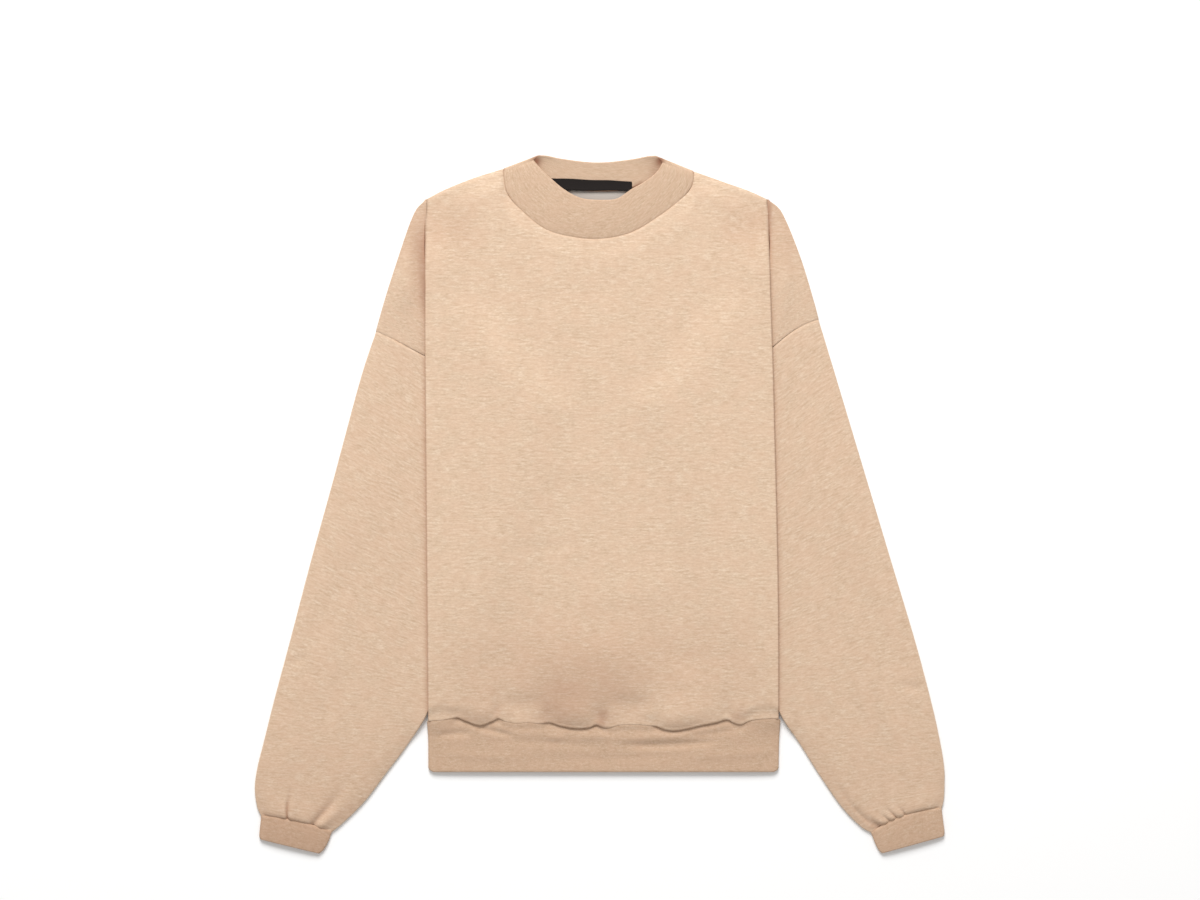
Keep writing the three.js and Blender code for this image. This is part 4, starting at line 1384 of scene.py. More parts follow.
@dataclass
class Sleeve(Tube):
    """One sleeve: a tube that lies flat, tucked in under the front and gathered at its cuff."""

    stations: int = 170
    upper_steps: int = 112
    lower_steps: int = 30

    LIP = 2.0
    LIP_REACH = 4.5
    BLOUSE = 1.1
    BLOUSE_REACH = 26.0
    CUFF_BOW = {Side.LEFT: 3.4, Side.RIGHT: 6.8}
    CUFF_BOW_FADE = 24.0
    ARMHOLE_GAP = 0.15
    ARMHOLE_REACH = 20.0
    LEAST_ROOM = 0.2
    EDGE_FADE = 4.0

    # Gathers above the cuffs: share of the way in from the outer edge, half width, lift, length, lean
    GATHERS = {
        Side.LEFT: Table(
            "at width lift length lean",
            (0.14, 7.0, 0.6, 26.0, 0.0),
            (0.34, 4.0, 0.8, 24.0, 0.1),
            (0.395, 1.15, -2.6, 27.0, 0.15),
            (0.44, 3.0, 0.9, 24.0, 0.15),
            (0.57, 5.0, 0.6, 20.0, 0.1),
            (0.70, 3.6, -2.4, 38.0, 0.0),
            (0.80, 5.0, 1.1, 30.0, 0.0),
        ),
        Side.RIGHT: Table(
            "at width lift length lean",
            (0.14, 8.0, 0.6, 24.0, 0.0),
            (0.34, 9.0, 0.6, 30.0, 0.0),
            (0.515, 1.2, -1.5, 9.0, 0.0),
            (0.565, 2.2, 0.7, 11.0, 0.0),
            (0.615, 1.2, -1.7, 11.0, 0.0),
            (0.66, 2.0, 0.7, 11.0, 0.0),
            (0.70, 1.3, -1.5, 7.0, 0.0),
            (0.77, 3.5, 0.9, 16.0, 0.0),
            (0.835, 3.0, -2.2, 9.0, 0.0),
            (0.89, 3.4, -2.2, 40.0, 0.0),
            (0.95, 4.0, 0.6, 24.0, 0.0),
        ),
    }
    # Painted shade in the pleats above the cuffs and across the sleeve towards the cuff: share of the way
    # in from the outer edge, half width, share of shade, length, lean
    HOLLOWS = {
        Side.LEFT: Table(
            "at width depth length lean",
            (0.395, 1.3, 0.40, 24.0, 0.15),
            (0.68, 3.6, 0.16, 34.0, 0.0),
            (0.20, 20.0, 0.14, 3.0, 0.0),
            (0.50, 400.0, 0.11, 120.0, 0.0),
        ),
        Side.RIGHT: Table(
            "at width depth length lean",
            (0.515, 1.2, 0.24, 8.0, 0.0),
            (0.615, 1.2, 0.26, 10.0, 0.0),
            (0.835, 3.4, 0.24, 8.0, 0.0),
            (0.89, 3.6, 0.14, 36.0, 0.0),
            (0.50, 400.0, 0.07, 120.0, 0.0),
        ),
    }
    CREASES = {
        Side.LEFT: (
            Crease(-226.0, 92.0, 68.0, 70.0, 13.0, -0.6, 6.0),
            Crease(-252.0, 26.0, 66.0, 90.0, 20.0, 0.8, -8.0),
            Crease(-300.0, -110.0, 60.0, 70.0, 14.0, -0.7, 5.0),
            Crease(-262.0, -160.0, 72.0, 60.0, 12.0, 0.6, 4.0),
            Crease(-345.0, -178.0, 12.0, 14.0, 5.0, -0.9),
            Crease(-310.0, -230.0, 48.0, 60.0, 12.0, -0.7, 6.0),
            Crease(-340.0, -262.0, 62.0, 44.0, 9.0, 0.6, -4.0),
            Crease(-228.0, -96.0, 58.0, 50.0, 12.0, -0.4, 4.0),
        ),
        Side.RIGHT: (
            Crease(222.0, 88.0, 112.0, 70.0, 14.0, -0.6, 6.0),
            Crease(262.0, 10.0, 114.0, 90.0, 18.0, 0.7, 8.0),
            Crease(248.0, -200.0, 118.0, 46.0, 12.0, 0.8, -4.0),
            Crease(300.0, -120.0, 116.0, 80.0, 15.0, -0.6, -6.0),
            Crease(354.0, -208.0, 168.0, 14.0, 5.0, -0.9),
            Crease(300.0, -250.0, 132.0, 56.0, 12.0, -0.7, -5.0),
            Crease(340.0, -276.0, 108.0, 46.0, 9.0, 0.6, 4.0),
        ),
    }

    def build(self) -> bpy.types.Object:
        """Makes the sleeve.

        Returns:
            The sleeve.
        """
        table = SLEEVE_SECTIONS[self.side]
        share = shares(self.stations)
        upper, out, from_edge, width = self._across(table, share, self.upper_steps, FLEECE_EDGE)
        lower, _, _, _ = self._across(table, share, self.lower_steps, FLEECE_EDGE)
        centre = upper.mean(axis=1)
        along = run_along(centre)
        from_cuff = (along[-1] - along)[:, None]
        slip = self.ARMHOLE_GAP * smooth(self.ARMHOLE_REACH, 0.0, along)[:, None]
        upper[..., 1] += armhole_bow(self.side, upper[..., 0], upper[..., 1]) - slip
        lower[..., 1] -= slip
        bow = self.CUFF_BOW[self.side] * np.exp(-((from_cuff / self.CUFF_BOW_FADE) ** 2))
        across = shares(self.upper_steps)[None, :]
        upper[..., 1] += bow * np.sin(math.pi * across)
        puff = table.along(share, "puff")[:, None]
        lift = self._lift(upper, from_edge, from_cuff, width)
        z = upper_layer(self.side, upper[..., 0], upper[..., 1], from_edge, puff)
        layer = lower_layer(self.side, upper[..., 0], upper[..., 1])
        room = np.maximum(z - layer - FLEECE - self.LEAST_ROOM, 0.0)
        z = z + np.maximum(lift, -room)
        z = z - np.minimum(self._lip(from_cuff), room) * smooth(0, self.EDGE_FADE, from_edge)
        low = lower_layer(self.side, lower[..., 0], lower[..., 1])
        rings = flat_ring(raised(upper, z), raised(lower, low), out)
        shell = self._shell(f"sleeve_{self.side.label}_cloth", rings, -along, FLEECE)
        # Painted shade, on the upper layer only
        shell.hollow = np.zeros(rings.shape[:2])
        shell.hollow[:, : self.upper_steps + 1] = self._hollow(upper, from_cuff, width)
        return self._sewn(shell)

    def _gathered(self, table: Table, column: str, across: Array, from_cuff: Array, width: Array) -> Array:
        """Sum of what the rows of a table of gathers add.

        Args:
            table: Rows with a place across, a half width, a length and a lean.
            column: The column to add up.
            across: Shares of the way in from the outer edge.
            from_cuff: Distances from the cuff.
            width: Widths of the sleeve.

        Returns:
            The sum at each place.
        """
        keys = ("at", "width", column, "length", "lean")
        total = np.zeros(np.broadcast(across, from_cuff).shape)
        for at, half, lift, length, lean in zip(*(table.columns[key] for key in keys)):
            away = ((across - at) * width + lean * from_cuff) / (half * (1 + from_cuff / GATHER_SPREAD))
            total = total + lift * np.exp(-((from_cuff / length) ** 2) - away * away)
        return total

    def _lift(self, spots: Array, from_edge: Array, from_cuff: Array, width: Array) -> Array:
        """Height that the gathers and creases add.

        Args:
            spots: Grid of places.
            from_edge: Distances from the edge.
            from_cuff: Distances from the cuff.
            width: Width of each row.

        Returns:
            The heights.
        """
        across = np.linspace(0, 1, spots.shape[1])[None, :]
        total = self._gathered(self.GATHERS[self.side], "lift", across, from_cuff, width)
        total = total + creased(self.CREASES[self.side], spots[..., 0], spots[..., 1])
        total = total + self.BLOUSE * np.exp(-((from_cuff / self.BLOUSE_REACH) ** 2))
        return total * smooth(0, Body.PUFF_REACH, from_edge)

    def _hollow(self, spots: Array, from_cuff: Array, width: Array) -> Array:
        """Share of painted shade at each place on top, from 0 to 1: in the pleats, towards the cuff and
        beside the fold.

        Args:
            spots: Grid of places.
            from_cuff: Distances from the cuff.
            width: Width of each row.

        Returns:
            The shares.
        """
        across = np.linspace(0, 1, spots.shape[1])[None, :]
        pleats = self._gathered(self.HOLLOWS[self.side], "depth", across, from_cuff, width)
        return pleats + TUCKS[self.side].hollow(spots[..., 0], spots[..., 1])

    def _lip(self, from_cuff: Array) -> Array:
        """How far the cloth has curved down to the cuff's seam."""
        share = np.clip(1 - from_cuff / self.LIP_REACH, 0, 1)
        return self.LIP * (1 - np.sqrt(1 - share**2))


@dataclass
class Cuff(Tube):
    """One rib cuff, a flattened ring."""

    stations: int = 22
    upper_steps: int = 56
    lower_steps: int = 24

    RISE = 8.0
    # Painted shade laid evenly over each cuff, heavier on the left
    SHADE = {Side.LEFT: 0.27, Side.RIGHT: 0.15}
    SEAM_DIP = 0.9
    SEAM_REACH = 1.6
    EDGE_FADE = 6.0
    STITCH_DIP = 0.35
    STITCH_LINE = 4.6
    STITCH_WIDTH = 0.9
    BOW_FADE = 1.5

    # Height, length and fade of the small waves above the cuff's seam
    WAVE = (0.25, 6.1, 9.0)
    SECTIONS = {
        Side.LEFT: Table(
            "outX outY inX inY puff",
            (382.8, -353.4, 302.8, -371.7, 2.0),
            (384.0, -366.0, 307.0, -383.0, 2.0),
            (384.8, -376.0, 312.0, -391.5, 1.6),
            (383.4, -379.2, 316.5, -395.3, 1.2),
        ),
        Side.RIGHT: Table(
            "outX outY inX inY puff",
            (387.0, -345.0, 307.2, -372.6, 2.0),
            (388.6, -358.0, 311.5, -383.5, 2.0),
            (390.2, -371.0, 315.5, -391.5, 1.6),
            (389.4, -375.6, 319.0, -395.0, 1.2),
        ),
    }

    def build(self) -> bpy.types.Object:
        """Makes the cuff.

        Returns:
            The cuff.
        """
        table = self.SECTIONS[self.side]
        share = shares(self.stations)
        upper, out, from_edge, _ = self._across(table, share, self.upper_steps, RIB_EDGE)
        lower, _, _, _ = self._across(table, share, self.lower_steps, RIB_EDGE)
        along = run_along(upper.mean(axis=1))
        across = shares(self.upper_steps)[None, :]
        bow = Sleeve.CUFF_BOW[self.side] * (1 - share[:, None]) ** self.BOW_FADE
        upper[..., 1] += bow * np.sin(math.pi * across)
        puff = table.along(share, "puff")[:, None]
        height, length, fade = self.WAVE
        wave = height * np.sin(upper[..., 0] / length + self.side.value) * np.exp(-along[:, None] / fade)
        z = RIB_SECOND + (puff + wave) * (1 - np.exp(-from_edge / self.RISE))
        dip = self.SEAM_DIP * np.exp(-along[:, None] / self.SEAM_REACH)
        z = z - dip * smooth(0, self.EDGE_FADE, from_edge)
        z = z - self.STITCH_DIP * np.exp(-(((along[:, None] - self.STITCH_LINE) / self.STITCH_WIDTH) ** 2))
        low = np.full(lower.shape[:2], RIB_FLOOR)
        rings = flat_ring(raised(upper, z), raised(lower, low), out)
        shell = self._shell(f"cuff_{self.side.label}_rib", rings, -along, RIB)
        shell.round_edge = RIB_ROUND
        shell.hollow = np.full(rings.shape[:2], self.SHADE[self.side])
        return self._sewn(shell)


@dataclass
class HemBand(Piece):
    """The rib waistband, a flattened ring below the body.

    Attributes:
        body: The body, whose wavy lower edge the band follows.
    """

    body: Body
    rows: int = 34
    upper_steps: int = 190
    lower_steps: int = 60

    RISE = 2.2
    # Painted shade laid evenly over the band
    SHADE = 0.11
    HOLD = 6.0
    END_HOLD = 12.5
    END_FADE = (45.0, 18.0)
    HELD_DROP = (0.25, 1.85)
    SEAM_RISE = 0.3
    SEAM_FADE = 11.0
    SEAM_GAP = 0.5
    END_RISE = 0.45
    CREASE_FADE = (2.0, 14.0)
    EDGE_FADE = 3.0
    ROW_CROWDING = 1.25
    UNDER = 1.05
    CREASES = (
        Crease(82.0, -273.0, 3.0, 50.0, 4.6, -1.9, 2.0),
        Crease(60.0, -264.5, 3.0, 44.0, 4.0, 0.7, 1.0),
        Crease(-118.0, -257.5, -14.0, 20.0, 3.6, -1.5, 0.0),
        Crease(-166.0, -260.0, 4.0, 20.0, 4.4, -1.3, -1.0),
        Crease(128.0, -260.0, 8.0, 30.0, 4.4, -1.0, 2.0),
        Crease(-50.0, -264.0, -3.0, 10.0, 4.0, 0.8, 0.0),
        Crease(-6.0, -263.5, 2.0, 16.0, 4.0, 0.8, 0.0),
        Crease(-60.0, -270.0, -3.0, 60.0, 5.0, -0.7, -2.0),
        Crease(20.0, -288.0, 2.0, 90.0, 6.0, -0.5, 2.0),
        Crease(-130.0, -286.0, -3.0, 46.0, 5.0, 0.5, 2.0),
        Crease(150.0, -284.0, 4.0, 50.0, 5.0, 0.5, 1.0),
    )

    def build(self) -> bpy.types.Object:
        """Makes the band.

        Returns:
            The band.
        """
        left = float(FOLD_EDGES.columns["left"][-1])
        right = float(FOLD_EDGES.columns["right"][-1])
        share = shares(self.rows)[:, None] ** self.ROW_CROWDING
        rings = []
        for steps, upper in ((self.upper_steps, True), (self.lower_steps, False)):
            place = shares(steps)[None, :]
            x = mix(-left + RIB_EDGE, right - RIB_EDGE, place)
            if upper:
                seam, seam_z = self.body.roll_end(x)
                start = seam - self.UNDER * (1 - HEM_LINE.read("x", x, "roll"))
            else:
                start = np.full(x.shape, HEM_BACK - self.SEAM_GAP)
            y = mix(start, HEM_BOTTOM, share)
            corner = np.clip((HEM_BOTTOM + HEM_CORNER - y) / HEM_CORNER, 0, 1)
            inset = HEM_CORNER * (1 - np.sqrt(1 - corner**2))
            x = np.clip(x, -left + RIB_EDGE + inset, right - RIB_EDGE - inset)
            z = np.full(y.shape, RIB_FLOOR)
            if upper:
                z = self._height(x, y, np.minimum(x + left, right - x), start, seam_z)
            rings.append(np.stack([x, y, z], axis=-1))
        out = np.tile([-1.0, 0.0], (self.rows + 1, 1))
        ring = flat_ring(rings[0], rings[1], out)
        marker = (self.rows // 2, self.upper_steps // 2)
        shell = Shell("hem_band_rib", ring, ring_run(ring), ring[..., 1], RIB, closed=True, marker=marker)
        shell.round_edge = RIB_ROUND
        shell.hollow = np.full(ring.shape[:2], self.SHADE)
        return self._sewn(shell)

    def _height(self, x: Array, y: Array, from_edge: Array, start: Array, seam_z: Array) -> Array:
        """Mid-height of the band's upper layer.

        Args:
            x: Grid of places across.
            y: Grid of places towards the neck.
            from_edge: Distance from the band's nearer end.
            start: Where the band starts below the body, towards the neck.
            seam_z: Mid-height of the body's cloth at the seam.

        Returns:
            Grid of mid-heights.
        """
        below = start - y
        rise = self.RISE * (1 - np.exp(-from_edge / Body.PUFF_REACH))
        rise = rise * mix(self.SEAM_RISE, 1.0, smooth(0, self.SEAM_FADE, below))
        rise = rise * mix(1.0, self.END_RISE, smooth(HEM_BACK, HEM_BOTTOM, y))
        creases = creased(self.CREASES, x, y) * smooth(*self.CREASE_FADE, from_edge)
        free = np.maximum(rise + creases, 0.0)
        drop = mix(*self.HELD_DROP, HEM_LINE.read("x", x, "roll"))
        held = np.maximum(seam_z - drop - RIB_SECOND, 0.0)
        reach = mix(self.HOLD, self.END_HOLD, smooth(*self.END_FADE, from_edge))
        share = np.exp(-((below / reach) ** 2)) * smooth(0, self.EDGE_FADE, from_edge)
        return RIB_SECOND + mix(free, held, share)


@dataclass
class Collar(Piece):
    """The wide rib neck band, a standing ring that lies flat."""

    rows: int = 26
    front_steps: int = 120
    back_steps: int = 64

    SEAM_TRIM = 3.0
    SEAM_IN = 0.6
    SEAM_LIFT = 1.3
    RIM_LIFT = 3.2
    SEAM_DIP = 0.25
    TURN_REACH = 1.6
    CORNER_LIFT = 2.0
    CORNER_REACH = 15.0
    # Painted shade along the back layer's seam: its share at the seam and its reach
    SEAM_TONE = 0.6
    SEAM_REACH = 1.6
    DIP_REACH = 1.8
    CROWN = 0.7
    ARCH = 0.38
    ROUND_STEPS = 5
    HOLLOW_STRETCH = 0.8

    # Painted shade in the folds inside the neck: place across and towards the neck, reach and depth of the
    # shade
    CORNER_HOLLOWS = (
        (-71.5, 387.5, 5.6, 0.9), (68.5, 387.5, 5.2, 0.9), (63.0, 377.0, 7.0, 0.25),
        (40.5, 358.0, 2.6, 0.5), (45.5, 361.5, 2.6, 0.45),
    )
    CORNERS = ((-0.33, 0.94), (0.34, 0.94))
    FRONT_SEAM = np.array([
        (-109.4, 378.0), (-104.5, 352.0), (-89.8, 332.8), (-61.6, 310.2), (-31.1, 301.2), (0.6, 298.9),
        (34.5, 305.7), (62.7, 321.5), (91.0, 343.0), (104.0, 359.0), (107.2, 375.0),
    ])
    BACK_SEAM = np.array([
        (-109.4, 378.0), (-80.0, 370.5), (-57.0, 362.0), (-32.0, 355.4), (0.6, 352.8), (32.0, 355.0),
        (54.0, 363.0), (80.0, 370.0), (107.2, 375.0),
    ])
    FRONT_RIM = np.array([
        (-76.3, 389.0), (-66.0, 377.0), (-52.5, 364.4), (-40.1, 354.3), (-22.0, 344.8), (0.6, 342.4),
        (20.0, 344.0), (37.0, 355.0), (52.0, 363.5), (65.0, 374.0), (72.9, 386.5),
    ])
    BACK_RIM = np.array([
        (-68.6, 393.0), (-60.0, 392.6), (-44.0, 389.4), (-2.8, 385.0), (38.0, 388.8), (55.0, 392.0),
        (64.0, 392.6),
    ])

    def build(self) -> bpy.types.Object:
        """Makes the collar.

        Returns:
            The collar.
        """
        share = shares(self.rows)[:, None]
        upper, run = self._between(self.FRONT_SEAM, self.FRONT_RIM, self.front_steps, share)
        lower, _ = self._between(self.BACK_SEAM, self.BACK_RIM, self.back_steps, share)
        arch = np.sin(math.pi * shares(self.front_steps))[None, :] ** self.ARCH
        crown = self.CROWN * np.sin(math.pi * share)
        z = RIB_SECOND + (mix(self.SEAM_LIFT, self.RIM_LIFT, share) + crown) * arch
        z = z - self.SEAM_DIP * np.exp(-((share * run / self.DIP_REACH) ** 2)) * arch
        upper = raised(upper, z)
        even = shares(self.back_steps)[None, :]
        from_corner = np.minimum(even, 1 - even) * Line(self.BACK_RIM).length
        corner = np.exp(-((from_corner / self.CORNER_REACH) ** 2))
        low = RIB_FLOOR + self.CORNER_LIFT * share**2 * corner
        lower = raised(lower, low)
        ring = np.stack([self._ring(*rows) for rows in zip(upper, lower)])
        depth = share * float(run.max())
        along = np.repeat(depth, ring.shape[1], axis=1)
        marker = (self.rows // 2, self.front_steps // 2)
        shell = Shell("collar_rib", ring, ring_run(ring), along, RIB, closed=True, marker=marker)
        shell.round_edge = RIB_ROUND
        shell.hollow = self._hollow(ring, depth)
        return self._sewn(shell)

    def _hollow(self, ring: Array, depth: Array) -> Array:
        """Share of painted shade at each place of the back layer, in the folds at the corners and along its
        seam.

        Args:
            ring: Places of the whole ring.
            depth: Distance of each row from the seam.

        Returns:
            The shares of painted shade from 0 to 1, as a grid. The front layer lies open and gets none.
        """
        total = np.zeros(ring.shape[:2])
        for x, y, reach, tone in self.CORNER_HOLLOWS:
            away = np.hypot(ring[..., 0] - x, (ring[..., 1] - y) * self.HOLLOW_STRETCH) / reach
            total = total + tone * np.exp(-(away**2))
        total = total + self.SEAM_TONE * np.exp(-((depth / self.SEAM_REACH) ** 2))
        total[:, : self.front_steps + 1] = 0.0
        return total

    def _between(self, seam: Array, rim: Array, steps: int, share: Array) -> tuple[Array, Array]:
        """Places between the seam and the free edge.

        Args:
            seam: Points of the seam.
            rim: Points of the free edge.
            steps: Steps along them.
            share: Shares of the way from the seam to the free edge.

        Returns:
            The places, and the width of the band at each step.
        """
        seam_line, rim_line = Line(seam), Line(rim)
        parts = shares(steps)
        seam_trim = self.SEAM_TRIM / seam_line.length
        rim_trim = RIB_EDGE / rim_line.length
        seam_parts = mix(seam_trim, 1 - seam_trim, parts)
        start = seam_line.at(seam_parts) + seam_line.inward(seam_parts) * self.SEAM_IN
        end = rim_line.at(mix(rim_trim, 1 - rim_trim, parts))
        spots = start[None] + (end - start)[None] * share[..., None]
        return spots, np.linalg.norm(end - start, axis=1)[None, :]

    def _ring(self, upper: Array, lower: Array) -> Array:
        """One closed section, from the left corner along the front and back along the back.

        Args:
            upper: Places of the front part, from left to right.
            lower: Places of the back part, from left to right.

        Returns:
            The places all round.
        """
        angles = np.linspace(0, math.pi, self.ROUND_STEPS + 2)[1:-1, None]

        def turned(start: Array, end: Array, corner: tuple[float, float]) -> Array:
            """Rounded fold at a corner of the neck.

            Args:
                start: Start point.
                end: End point.
                corner: Way that the fold faces.

            Returns:
                The points between.
            """
            half = (start - end) / 2
            out = np.array([*corner, 0.0]) * min(float(np.linalg.norm(half)), self.TURN_REACH)
            return (start + end) / 2 + half * np.cos(angles) + out * np.sin(angles)

        right = turned(upper[-1], lower[-1], self.CORNERS[1])
        left = turned(lower[0], upper[0], self.CORNERS[0])
        return np.vstack([upper, right, lower[::-1], left])


@dataclass
class NeckTape(Piece):
    """The dark strip sewn over the seam inside the back of the neck."""

    steps: int = 60

    LEFT = -59.0
    RIGHT = 36.4
    BOTTOM = 355.4
    BOTTOM_RISE = 2.4
    CAD_HEIGHT = 7.2
    HEIGHT = (13.8, 10.0)
    LOWER = 1.4
    CURL = 1.6
    CURL_BEND = 1.5
    END_SLANT = 3.4
    END_SHARE = 0.12
    ROUND_EDGE = 0.35
    ROWS = 9

    # Height and length of the small waves of the edges and of the lift
    WAVES = ((0.25, 7.0), (0.12, 5.3))

    def build(self) -> bpy.types.Object:
        """Makes the strip.

        Returns:
            The strip.
        """
        share = shares(self.steps)[None, :]
        down = np.linspace(0, 1, self.ROWS)[:, None]
        slant = self.END_SLANT * (down - 0.5) * smooth(self.END_SHARE, 0.0, share)
        x = mix(self.LEFT, self.RIGHT, share) + slant
        edge_wave, lift_wave = (height * np.sin(x / length) for height, length in self.WAVES)
        y = self.BOTTOM - self.LOWER + mix(*self.HEIGHT, share) * (1 - down) + edge_wave
        z = FLEECE + LAYER_GAP + TAPE / 2 + self.CURL * down**self.CURL_BEND + lift_wave
        points = np.stack([x + 0 * y, y, z], axis=-1)
        shell = Shell("neck_tape_twill", points, points[..., 0], points[..., 1], TAPE)
        shell.round_edge = self.ROUND_EDGE
        return self._sewn(shell)


class NodeKit:
    """Places and joins nodes in one node tree."""

    STEP = 190.0

    def __init__(self, tree: bpy.types.NodeTree) -> None:
        """Starts in a tree.

        Args:
            tree: The tree of a material, a world or a group.
        """
        self.tree = tree
        self.placed = 0

    def add(self, kind: str, inputs: dict[str, object] | None = None, **settings: object) -> bpy.types.Node:
        """Adds one node.

        Args:
            kind: The node's type.
            inputs: Sockets to join, or numbers to set, by input name or number.
            settings: The node's own settings.

        Returns:
            The new node.
        """
        node = self.tree.nodes.new(kind)
        node.location = (self.STEP * (self.placed % 12), -self.STEP * (self.placed // 12))
        self.placed += 1
        for name, value in settings.items():
            setattr(node, name, value)
        for name, value in (inputs or {}).items():
            self.feed(node.inputs[name], value)
        return node

    def feed(self, target: Socket, value: object) -> None:
        """Joins a socket to a target, or sets the target's own value.

        Args:
            target: Socket to feed.
            value: A socket or a value.
        """
        if isinstance(value, bpy.types.NodeSocket):
            self.tree.links.new(value, target)
        else:
            target.default_value = value

    def group(self, tree: bpy.types.NodeTree, **inputs: object) -> bpy.types.bpy_prop_collection:
        """Outputs of a node group, with sockets or numbers by input name."""
        return self.add("ShaderNodeGroup", inputs, node_tree=tree).outputs

    def attribute(self, name: str, output: str = "Fac") -> Socket:
        """Value or vector that the mesh holds at each place."""
        return self.add("ShaderNodeAttribute", attribute_name=name).outputs[output]

    def math(self, operation: str, *values: Socket | float, clamp: bool = False) -> Socket:
        """Result of a math node on sockets or numbers."""
        inputs = dict(enumerate(values))
        return self.add("ShaderNodeMath", inputs, operation=operation, use_clamp=clamp).outputs[0]

    def ramp(self, value: Socket, low: float, high: float) -> Socket:
        """Soft step of a value from 0 at low to 1 at high.

        Args:
            value: The value.
            low: Start of the step.
            high: End of the step.

        Returns:
            The share.
        """
        node = self.add("ShaderNodeMapRange", {"Value": value}, interpolation_type="SMOOTHSTEP")
        node.inputs["From Min"].default_value = low
        node.inputs["From Max"].default_value = high
        return node.outputs["Result"]

    def noise(self, place: Socket, scale: float, detail: float, roughness: float) -> Socket:
        """Value of a noise texture."""
        inputs = {"Vector": place, "Scale": scale, "Detail": detail, "Roughness": roughness}
        return self.add("ShaderNodeTexNoise", inputs).outputs["Fac"]

    def blend(self, share: Socket | float, low: object, high: object, mode: str = "MIX") -> Socket:
        """Colour at a share of the way from low to high.

        Args:
            share: The share.
            low: First colour.
            high: Second colour.
            mode: How they blend.

        Returns:
            The colour.
        """
        node = self.add("ShaderNodeMix", data_type="RGBA", blend_type=mode)
        self.feed(node.inputs[0], share)
        self.feed(node.inputs[6], low)
        self.feed(node.inputs[7], high)
        return node.outputs[2]

    def stretched(
        self, place: Socket, across: Socket | float, along: Socket | float, seed: float
    ) -> Socket:
        """Places along the cloth, divided by a size across and a size along.

        Args:
            place: Place on the cloth.
            across: Size across.
            along: Size along.
            seed: Shift of the pattern.

        Returns:
            The new place.
        """
        parts = self.add("ShaderNodeSeparateXYZ", {0: place}).outputs
        x = self.math("DIVIDE", parts[0], across)
        y = self.math("DIVIDE", parts[1], along)
        z = self.math("ADD", parts[2], seed)
        return self.add("ShaderNodeCombineXYZ", {0: x, 1: y, 2: z}).outputs[0]


def new_group(name: str, inputs: dict[str, str], outputs: dict[str, str]) -> tuple[NodeKit, dict, dict]:
    """Starts a shader node group with named sockets.

    Args:
        name: Name of the group.
        inputs: Socket types by input name.
        outputs: Socket types by output name.

    Returns:
        The group's node kit, its input sockets and its output targets, by name.
    """
    tree = bpy.data.node_groups.new(name, "ShaderNodeTree")
    for direction, sockets in (("INPUT", inputs), ("OUTPUT", outputs)):
        for socket, kind in sockets.items():
            tree.interface.new_socket(name=socket, in_out=direction, socket_type=f"NodeSocket{kind}")
    kit = NodeKit(tree)
    entry = kit.add("NodeGroupInput")
    end = kit.add("NodeGroupOutput")
    return kit, {key: entry.outputs[key] for key in inputs}, {key: end.inputs[key] for key in outputs}


